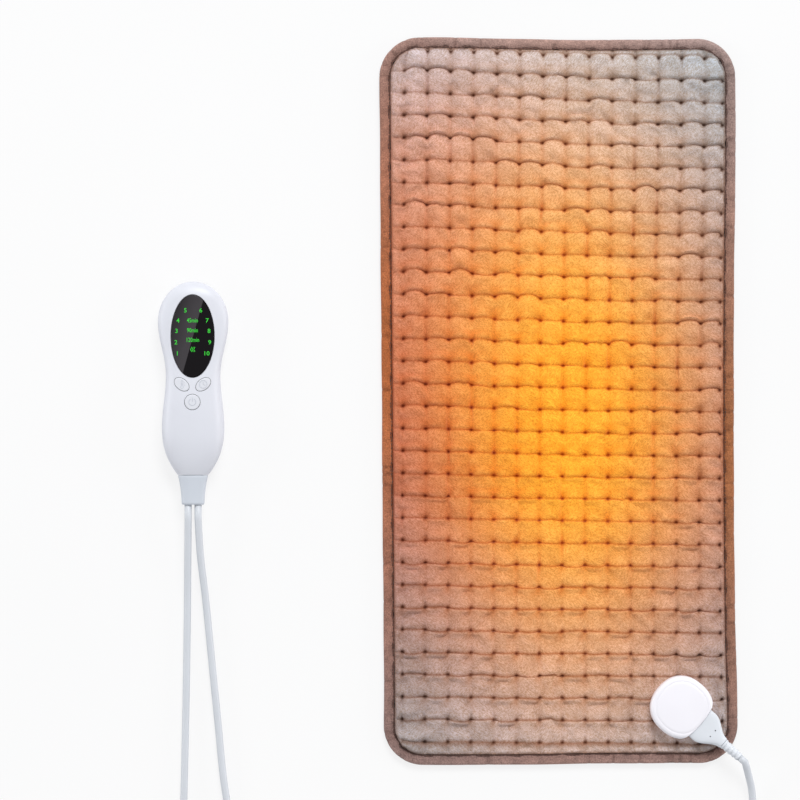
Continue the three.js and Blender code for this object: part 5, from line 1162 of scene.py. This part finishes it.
def binding_stitches():
    count = round((4 * (SIDE_X + SIDE_Y) + TAU * PAD_CORNER) / STITCH_PITCH)
    bars = []
    for level in STITCH_LEVELS:
        for k in range(count):
            a, b = (warped(*outline_point(share, BINDING_WIDTH - STITCH_INSET + edge_wave(share)), level)
                    for share in (k / count, (k + STITCH_LENGTH / STITCH_PITCH) / count))
            bars.append(skin(tube_rings([a.lerp(b, t) for t, _ in STITCH_SHAPE],
                                        [STITCH_RADIUS * MM * wide for _, wide in STITCH_SHAPE], 6)))
    return piece("binding_stitches", joined(bars), "pad", "binding_tape", material=THREAD)


def back_sheet():
    """The lower cloth: flat on the table, drawn up at each tuft, its edge up in the binding's slot."""
    us, vs = lattice_stops((BACK_STOPS, BACK_STOPS), BORDER_STOPS)
    lower, upper = [], []
    for v in vs:
        for u in us:
            x, y = cover_place(u, v)
            cu, cv, _, row, _, _ = cell_at(u, v)
            tx, ty = cover_place(round(cu), round(cv))
            fv = cv - row
            dip = 0.55 * bell(math.hypot(x - tx, y - ty), 2.2) + 0.35 * (1 - (4 * fv * (1 - fv)) ** 0.5)
            edge = smooth_step(0, 1, clamp(1 - edge_distance(x, y) / 4.0))
            low = mix(min(dip, 0.8), 1.3, edge)
            grow = 0.047 * edge
            lower.append(warped(x * (1 + grow), y * (1 + grow * 0.45), low))
            upper.append(lower[-1] + level_place(0, 0, BACK_THICK))
    count = len(lower)
    loop = border_loop(len(us), len(vs))
    faces = grid_faces(len(us), len(vs), 0, True) + grid_faces(len(us), len(vs), count) \
        + wall_faces(loop, [count + k for k in loop])
    cloth = piece("back_cloth", mesh_from(lower + upper, faces), "pad", "back_cloth", 60, ["back_cover"])


tufted_cover()
tape = edge_tape()
stitches = binding_stitches()
back_sheet()


# Connector: puck on the pad, plug in its seam, and the felt that is cut out round it

CONNECTOR = Matrix.Translation(Vector((117.4, -269.7, 0)) * MM) @ Matrix.Rotation(math.radians(-40.8), 4, "Z")
PUCK_RADIUS = 25.5
PUCK_BACK = 19.5
PUCK_SQUARENESS = 2.25
PUCK_LOW = 7.3
PUCK_TOP = 20.0
PUCK_PARTING = 15.2
PUCK_WALL = 1.8
EDGE_ROUND = 3.6
RIM_IN = 4.8
DOME = 0.42
PLUG_AXIS_Z = 15.2
POCKET_HALF = 9.8
POCKET_LEVELS = (PLUG_AXIS_Z - 3.0, PLUG_AXIS_Z + 3.0)
HALF_GAP = 0.15
PIP_X = 14.3
PIP_YS = (3.7, -2.8)
FELT_INSET = 15
FELT_LOW, FELT_HIGH = 1.9, 2.7
PLATE_INSET = 3.2
PLATE_FRONT_X = -1.2


def on_pad(x, y, z):
    return CONNECTOR @ level_place(x, y, z)


def puck_outline(inset, count):
    radius = PUCK_RADIUS - inset
    return [(x - PUCK_BACK, y) for x, y in superellipse(radius, radius, PUCK_SQUARENESS, count)]


def felt_sheet():
    """The felt that carries the heating wire between the two cloths, cut out round the socket's backing plate."""
    outline = [tuple(outline_point(k / 360, FELT_INSET)) for k in range(360)]
    plate = [(min(x, PLATE_FRONT_X), y) for x, y in puck_outline(PLATE_INSET, 96)]
    felt = piece("carrier_felt_sheet", prism(outline, FELT_LOW, FELT_HIGH), "pad", "felt", 40, ["carrier_felt"],
                 [prism(plate, FELT_LOW - 1, FELT_HIGH + 1, on_pad)])


def behind_seam(inset, low, high):
    """All of the socket's side of the curved seam between puck and plug."""
    outline = []
    for k in range(61):
        y = mix(-31, 31, k / 60)
        outline.append((1.5 * (1 - (y / 15) ** 2) - max(abs(y) - 14.5, 0) ** 2 / 22 - inset, y))
    return prism(outline + [(-50, 31), (-50, -31)], low, high, on_pad)


def puck_shell(name, profile, hollow, replaced):
    body, room = (loft([[on_pad(x, y, z) for x, y in puck_outline(inset, 128)] for inset, z in levels])
                  for levels in (profile, hollow))
    low, high = (pick(z for _, z in profile) for pick in (min, max))
    mouth = prism(rectangle(-10.3, 6, -POCKET_HALF, POCKET_HALF), *POCKET_LEVELS, on_pad)
    piece(name, common(body, behind_seam(0, low - 1, high + 1)), "pad", "white_plastic", 34, [replaced],
          [common(room, behind_seam(PUCK_WALL, low - 9, high + 9)), mouth], PUCK_WHITE)


def grip_ring(x):
    taper = ease((x - 5.5) / 21)
    outline = superellipse(mix(14.5, 4.9, taper), mix(3.6, 4.1, taper), mix(4, 2.2, taper), 56)
    return [on_pad(x, y, PLUG_AXIS_Z + z) for y, z in outline]


def plug_grip():
    rings = [grip_ring(mix(-7.5, 26.1, k / 44)) for k in range(45)]
    rings.append([on_pad(26.5, y, PLUG_AXIS_Z + z) for y, z in superellipse(4.6, 3.8, 2.2, 56)])
    pocket = prism(rectangle(-10, 4.3, -POCKET_HALF, POCKET_HALF), *POCKET_LEVELS, on_pad)
    dimples = [prism(circle(PIP_X, y, 0.55, 16), 18.3, 25, on_pad) for y in PIP_YS]
    grip = piece("plug_grip_shell", loft(rings), "cord_set", "plug_plastic", 34, ["plug_grip"],
                 [behind_seam(-0.3, 0, 30), pocket, *dimples])
    # dark discs at the floor of the two dimples: painted shade in the holes
    pips = [skin([[on_pad(px, py, z) for px, py in circle(PIP_X, y, 0.5, 16)] for z in (18.25, 18.5)]) for y in PIP_YS]
    piece("plug_grip_pips", joined(pips), "cord_set", "plug_plastic", material=GAP_SHADE)
    return grip


def relief(name, matrix, root_radius, tip_radius, length, ribs, replaced):
    """Ribbed sleeve along +Y of the matrix, its ribs' edges eased."""
    pitch = length / (ribs + 0.5)
    profile = [(root_radius - 0.3, 0.0)]
    for k in range(ribs + 1):
        crest = mix(root_radius, tip_radius, k / ribs)
        rib = [(0.12, 0.02), (0, 0.2), (0, pitch / 2 - 0.2), (0.15, pitch / 2)]
        groove = [(0.55, pitch / 2 + 0.12), (0.6, pitch * 0.75), (0.55, pitch - 0.12)]
        profile += [(crest - drop, k * pitch + y) for drop, y in (rib + groove if k < ribs else rib)]
    rings = [[matrix @ level_place(x, y, z) for x, z in circle(0, 0, radius, 40)] for radius, y in profile]
    return piece(name, loft(rings), "cord_set", "plug_plastic", 40, [replaced])


felt_sheet()
cover_low, base_top = PUCK_PARTING + HALF_GAP, PUCK_PARTING - HALF_GAP
edge_profile = [(EDGE_ROUND * (1 - math.cos(a)), PUCK_TOP - 0.5 - EDGE_ROUND * (1 - math.sin(a)))
                for a in (QUARTER * k / 10 for k in range(11))]
rim_line = [(4.1, PUCK_TOP - 0.46), (4.3, PUCK_TOP - 0.56), (4.6, PUCK_TOP - 0.56), (RIM_IN, PUCK_TOP - DOME)]
dome = [(inset, PUCK_TOP - DOME * ((PUCK_RADIUS - inset) / (PUCK_RADIUS - RIM_IN)) ** 2)
        for inset in (7, 10, 13, 17, 21, 24, 25.4)]
puck_shell("puck_cover", [(0.25, cover_low), (0, cover_low + 0.25)] + edge_profile + rim_line + dome,
           [(PUCK_WALL, cover_low - 5), (PUCK_WALL, 16.4), (2 * PUCK_WALL, 18.2)], "socket_cover")
puck_shell("puck_base", [(1, PUCK_LOW), (0.3, PUCK_LOW + 0.3), (0, PUCK_LOW + 1), (0, base_top - 0.25),
                         (0.25, base_top)],
           [(PUCK_WALL, PUCK_LOW + PUCK_WALL), (PUCK_WALL, base_top + 5)], "socket_base")
grip = plug_grip()
relief_frame = CONNECTOR @ Matrix.Translation(level_place(26.8, 0, PLUG_AXIS_Z)) \
    @ Matrix.Rotation(math.radians(-90), 4, "Z")
plug_relief = relief("plug_relief", relief_frame, 4.4, 3.7, 17.5, 4, "plug_strain_relief")


# Hand controller: places along it are measured from the tip of its head

PARTING_Z = 11.0
HEAD_AT = 33.5
NECK_AT = 162.2
WALL = 2.2
TOP_POWER = 2.6
BASE_POWER = 4.5
NECK_SQUARENESS = 2.6
WINDOW_SEMI = (18.3, 34.75)
WINDOW_THICKNESS = 1.1
WINDOW_LEDGE = 1.6
WINDOW_GAP = 0.3
BUTTON_CLEARANCE = 0.35
BUTTON_PROUD = 0.3
BUTTONS = {
    "temperature": (-9.0, 86.3, 7.05, 4.5, -38.0),
    "timer": (9.0, 86.3, 7.05, 4.5, 38.0),
    "power": (0.0, 101.1, 6.45, 6.45, 0.0),
}
SCREW_PLACES = ((-18, 20), (18, 20), (-15, 138), (15, 138))


def half_width(at):
    if at < HEAD_AT:
        return 29.5 * math.sqrt(max(0.0, 1 - (1 - at / HEAD_AT) ** 2))
    if at < 79:
        return mix(29.5, 22.8, ease((at - HEAD_AT) / 45.5))
    if at < 122:
        return mix(22.8, 26.1, ease((at - 79) / 43))
    return mix(26.1, 12.8, clamp((at - 122) / 40.2, 0, 2) ** 2.4)


def nose_share(at):
    return math.sqrt(max(0.0, 1 - (1 - at / 14) ** 2)) if at < 14 else 1.0


def top_z(at):
    back = mix(21.5, 25.5, ease((at - 45) / 73))
    return mix(PARTING_Z, mix(back, 17.2, clamp((at - 118) / 44.2) ** 2.4), nose_share(at))


def base_z(at):
    return mix(PARTING_Z, mix(-0.4, 4.8, clamp((at - 125) / 37.2) ** 2.4), nose_share(at))


def roof(x, at):
    """Height of the housing's outside at a place across and along it."""
    across = clamp(abs(x) / half_width(at)) if half_width(at) > 0 else 0
    return PARTING_Z + (top_z(at) - PARTING_Z) * (1 - across ** TOP_POWER) ** (1 / TOP_POWER)


def in_hand(x, at, z):
    return Vector((HANDSET_X + x * MM, HANDSET_TIP_Y - at * MM, z * MM))


def on_roof(points, above):
    return [in_hand(x, at, roof(x, at) + above) for x, at in points]


def housing_half(inset, upper, end, count, overlap):
    """A solid of one half of the housing, closed at a level past the parting plane or just short of it."""
    first = inset * 1.4
    stations = [mix(first, HEAD_AT, 1 - math.cos(QUARTER * (k + 0.12) / 22)) for k in range(22)] \
        + [mix(HEAD_AT, end, k / 56) for k in range(57)]
    away, power = (1, TOP_POWER) if upper else (-1, BASE_POWER)
    level = (PARTING_Z - away * overlap) * MM
    rings = []
    for at in stations:
        half = half_width(at) - inset
        high = away * (abs((top_z(at) if upper else base_z(at)) - PARTING_Z) - inset)
        ring = []
        for k in range(count + 1):
            turn = math.pi * k / count
            angle = turn - 0.5 * math.sin(2 * turn) / 2
            c, s = math.cos(angle), max(math.sin(angle), 0.0)
            ring.append(in_hand(half * math.copysign(abs(c) ** (2 / power), c), at,
                                PARTING_Z + high * s ** (2 / power)))
        if overlap < 0:
            ring = [Vector((p.x, p.y, away * max(away * p.z, away * level))) for p in ring]
        else:
            ring += [Vector((corner.x, corner.y, level)) for corner in (ring[-1], ring[0])]
        rings.append(ring)
    return loft(rings)


def ellipse(x, at, semi_x, semi_y, tilt=0.0, count=96):
    c, s = math.cos(math.radians(tilt)), math.sin(math.radians(tilt))
    return [(x + u * c - w * s, at - (u * s + w * c))
            for u, w in ((semi_x * a, semi_y * b) for a, b in circle(0, 0, 1, count))]


def window_outline(grow, share=1.0, count=96):
    return ellipse(0, WINDOW_AT, *((semi + grow) * share for semi in WINDOW_SEMI), 0, count)


def window_rebate():
    """The plate-shaped recess that follows the housing's top, as deep as the window and its gap."""
    rings = [on_roof(window_outline(WINDOW_GAP, share), -WINDOW_THICKNESS - WINDOW_GAP)
             for share in (1.0, 0.92, 0.82, 0.7, 0.55, 0.38, 0.2, 0.05)]
    return loft([[in_hand(x, at, 30) for x, at in window_outline(WINDOW_GAP)]] + rings)


def housing_shell(name, upper, cuts, replaced):
    neck = superellipse(8.6, 3.6, NECK_SQUARENESS, 40)
    neck_cut = loft([[in_hand(x, at, PARTING_Z + z) for x, z in neck] for at in (159.7, 168)])
    piece(name, housing_half(0, upper, NECK_AT, 64, -HALF_GAP), "cord_set", "white_plastic", 32, [replaced],
          [*cuts, neck_cut])


def edge_drop(share, start, depth):
    """How far a rounded edge has fallen at a share of the outline."""
    past = clamp((share - start) / (1 - start))
    return depth * (1 - math.sqrt(max(0.0, 1 - past * past)))


def display_window():
    shares = (1.0, 0.997, 0.99, 0.975, 0.94, 0.85, 0.72, 0.56, 0.4, 0.22, 0.05)
    rings = [on_roof(window_outline(0, share, 128), -WINDOW_THICKNESS) for share in reversed(shares)]
    rings += [on_roof(window_outline(0, share, 128), -edge_drop(share, 0.97, 0.25)) for share in shares]
    piece("display_lens", loft(rings), "cord_set", "display_black", 40, ["display_window"])


def button_cap(name, x, at, semi_x, semi_y, tilt):
    def outline_at(share):
        return ellipse(x, at, semi_x * share, semi_y * share, tilt, 72)
    low = min(roof(*place) for place in outline_at(1.15)) - WALL - 2.0
    rings = [[in_hand(*place, z) for place in outline_at(share)]
             for share, z in ((0.3, low - 0.3), (0.9, low), (0.96, low + 0.1))]
    rings += [on_roof(outline_at(share), BUTTON_PROUD - edge_drop(share, 0.9, 0.45))
              for share in (1.0, 0.995, 0.98, 0.95, 0.9, 0.8, 0.65, 0.45, 0.25, 0.06)]
    piece(name + "_cap", loft(rings), name + "_key", "button_plastic", 38, [name + "_button"])


def cord_boot():
    sections = [(10.5, 4.3, 156.9), (10.5, 4.3, 159.7), (8.3, 3.3, 159.7), (8.3, 3.3, 162.5)]
    for k in range(25):
        share = k / 24
        rest = (1 - share) ** 2
        rounding = edge_drop(1 - share, 0.985, 0.35) + edge_drop(share, 0.985, 0.8)
        sections.append((mix(9.6, 12.7, rest) - rounding, mix(4.9, 6.1, rest) - rounding, 162.5 + 24.7 * share))
    rings = [[in_hand(x, at, PARTING_Z + z) for x, z in superellipse(half, up, NECK_SQUARENESS, 72)]
             for half, up, at in sections]
    piece("cord_boot_sleeve", loft(rings), "cord_set", "boot_rubber", 40, ["cord_boot"])


housing_shell("controller_top", True, [
    housing_half(WALL, True, NECK_AT - WALL, 40, 3), window_rebate(),
    prism(window_outline(-WINDOW_LEDGE), PARTING_Z, 30, in_hand),
    *(prism(ellipse(x, at, semi_x + BUTTON_CLEARANCE, semi_y + BUTTON_CLEARANCE, tilt, 64), PARTING_Z, 30, in_hand)
      for x, at, semi_x, semi_y, tilt in BUTTONS.values()),
], "handset_top_shell")
housing_shell("controller_base", False, [
    prism(rectangle(-40, 40, -10, 180), -8, 0, in_hand), housing_half(WALL, False, NECK_AT - WALL, 40, 3),
    *(prism(ellipse(x, at, 2.9, 2.9, 0, 32), -5, 3.1, in_hand) for x, at in SCREW_PLACES),
], "handset_bottom_shell")
display_window()
for key_name, key_size in BUTTONS.items():
    button_cap(key_name, *key_size)
cord_boot()


# Lit figures on the window, and the raised marks on the buttons

FIGURE_WEIGHT = 0.004
PHOTO_SCALE = 3.08
PHOTO_MIDDLE = (193.8, 104.5)
# places in the photograph, in pixels
FIGURES = {
    "1": (154.6, 290.4), "2": (150.8, 261.7), "3": (152.3, 232.5), "4": (156.1, 205.7), "5": (175.3, 179.5),
    "6": (215.1, 179.5), "7": (231.7, 205.7), "8": (236.3, 232.5), "9": (238.0, 261.7), "10": (231.1, 290.4),
}
TIMES = {"45min": (193.4, 205.3), "90min": (193.6, 230.8), "120min": (194.8, 255.4)}
HEAT_MARK = (194.2, 280.3)
MARK_RISE = BUTTON_PROUD + 0.02


def from_photo(place):
    """A place in the photograph as across and along the controller."""
    return [(at - middle) / PHOTO_SCALE for at, middle in zip(place, PHOTO_MIDDLE)]


def stroke(points, radius, rise=MARK_RISE, sides=8):
    """A closed round bar along points across and along the controller, so far above its housing."""
    return skin(tube_rings(on_roof(points, rise), radius * MM, sides))


def text_parts(text, place, height, narrow):
    """Flat figures with a little thickness, laid on the window's curve."""
    x, at = from_photo(place)
    curve = bpy.data.curves.new("figures", "FONT")
    curve.body = text
    curve.align_x = "CENTER"
    curve.align_y = "CENTER"
    curve.offset = FIGURE_WEIGHT
    curve.extrude = 0.01
    curve.resolution_u = 3
    obj = put_in_scene("figures", curve)
    mesh = bpy.data.meshes.new_from_object(obj.evaluated_get(bpy.context.evaluated_depsgraph_get()))
    (low_x, high_x), (low_y, high_y) = ((min(all_at), max(all_at))
                                        for all_at in ([v.co[k] for v in mesh.vertices] for k in (0, 1)))
    scale = height / (high_y - low_y)
    vertices = []
    for v in mesh.vertices:
        spot = (x + (v.co.x - (low_x + high_x) / 2) * scale * narrow, at - (v.co.y - (low_y + high_y) / 2) * scale)
        vertices += on_roof([spot], 0.05 if v.co.z > 0 else -0.02)
    faces = [tuple(p.vertices) for p in mesh.polygons]
    bpy.data.objects.remove(obj)
    bpy.data.curves.remove(curve)
    bpy.data.meshes.remove(mesh)
    return vertices, faces


def arc(x, at, radius, start_deg, end_deg, steps=40):
    turns = [math.radians(mix(start_deg, end_deg, k / steps)) for k in range(steps + 1)]
    return [(x + radius * math.sin(a), at - radius * math.cos(a)) for a in turns]


def row_of(x, at, step_x, step_at, count):
    return [(x + step_x * k, at + step_at * k) for k in range(count)]


def button_mark(name, strokes):
    piece(name + "_mark", joined(strokes), name + "_key", "button_plastic", material=MARK_GREY)


figure_parts = [text_parts(text, place, height, narrow)
                for texts, height, narrow in ((FIGURES, 3.55, 1.08), (TIMES, 3.6, 0.74))
                for text, place in texts.items()]
wave_x, wave_at = from_photo(HEAT_MARK)
wave = [(0.42 * math.sin(TAU * 1.25 * share + 0.6), mix(-2.0, 2.0, share)) for share in (j / 24 for j in range(25))]
figure_parts += [stroke([(wave_x + k * 1.35 + x, wave_at + at) for x, at in wave], 0.22, 0.02, 6) for k in (-1, 0, 1)]
piece("display_figures", joined(figure_parts), "cord_set", "display_black", material=FIGURES_LIT)

mark_x, mark_at = BUTTONS["power"][:2]
button_mark("power", [stroke(arc(mark_x, mark_at, 2.9, 28, 332), 0.2),
                      stroke(row_of(mark_x, mark_at - 3.7, 0, 0.4, 10), 0.2)])

mark_x, mark_at = BUTTONS["timer"][:2]
ticks = [stroke([(mark_x + r * math.sin(a), mark_at - r * math.cos(a)) for r in (2.35, 2.6, 2.85)], 0.12)
         for a in (TAU * k / 12 for k in range(12))]
button_mark("timer", ticks + [stroke(line, 0.17) for line in (
    arc(mark_x, mark_at, 3.3, 0, 360), row_of(mark_x, mark_at - 2.0, 0, 0.5, 5),
    row_of(mark_x, mark_at, 0.4, 0.22, 5))])

mark_x, mark_at = BUTTONS["temperature"][0] + 0.3, BUTTONS["temperature"][1]
thermometer = row_of(mark_x - 0.65, mark_at + 1.3, 0, -0.35, 12) + arc(mark_x, mark_at - 2.6, 0.65, -90, 90, 10) \
    + row_of(mark_x + 0.65, mark_at - 2.5, 0, 0.35, 11)
scale_lines = [stroke(row_of(mark_x + 1.5, mark_at - 2.4 + 1.1 * k, 0.3, 0, 3 + k % 2), 0.13) for k in range(4)]
button_mark("temperature", scale_lines + [stroke(line, 0.16) for line in (
    thermometer, arc(mark_x, mark_at + 2.2, 1.15, 38, 322, 24), row_of(mark_x, mark_at - 0.9, 0, 0.4, 8))])


# Mains plug, its relief, and the strap round the coil

PLUG_LENGTH = 30
PLUG_TOP = 14.0
# how full the plug's moulding is along it
PLUG_SHAPE = ((0, 0), (0.12, 0.55), (0.3, 0.62), (0.5, 0.5), (0.75, 0.9), (1, 1))
BLADES = ((-6.35, 3.5), (6.35, 4.3))
STRAP_SIDES = (-51.0, -21.0)
STRAP_TOP = 15.1
STRAP_THICK = 1.0


def mains_plug():
    rings = []
    for point in catmull([Vector((*place, 0)) for place in PLUG_SHAPE], 0.02):
        full, along = point.y, clamp(point.x)
        rounding = edge_drop(along, 0.93, 0.9) + edge_drop(1 - along, 0.95, 0.8)
        outline = superellipse(mix(6.5, 12.5, full) - rounding, mix(5.5, 7.3, full) - rounding, 3, 64)
        rings.append([level_place(PLUG_X + x, PLUG_Y - along * PLUG_LENGTH, clamp(PLUG_AXIS + z, 0.0, PLUG_TOP))
                      for x, z in outline])
    slots = [prism(rectangle(PLUG_X + x - 1.05, PLUG_X + x + 1.05, -508, -492.7), PLUG_AXIS - half, PLUG_AXIS + half)
             for x, half in BLADES]
    return piece("mains_plug_moulding", loft(rings), "cord_set", "plug_plastic", 40, ["mains_plug_body"], slots)


def coil_strap():
    """A hook-and-loop strap round one side of the coil."""
    centre_x = COIL_CENTRE[0] + sum(STRAP_SIDES) / 2
    half_x, half_z = (STRAP_SIDES[1] - STRAP_SIDES[0]) / 2, STRAP_TOP / 2
    sections = [(-5, -0.25, 0), (-4.7, 0, 0), (4.7, 0, 0), (5, -0.25, 0)]
    sections += [(y, -eased, STRAP_THICK) for y, eased, _ in reversed(sections)]
    rings = []
    for y, eased, thick in sections:
        k = 1 + eased / 12
        rings.append([level_place(centre_x + x * k, COIL_CENTRE[1] + y, half_z + z * k)
                      for x, z in superellipse(half_x - thick, half_z - thick, 7, 64)])
    return piece("coil_strap", loft(rings, join_ends=True), "cord_set", "tie_plastic", 50, ["coil_tie"])


plug = mains_plug()
mains_relief = relief("mains_plug_relief", Matrix.Translation(level_place(PLUG_X, PLUG_Y + 0.3, PLUG_AXIS)),
                      5.2, 3.7, 23.7, 5, "mains_plug_strain_relief")
strap = coil_strap()
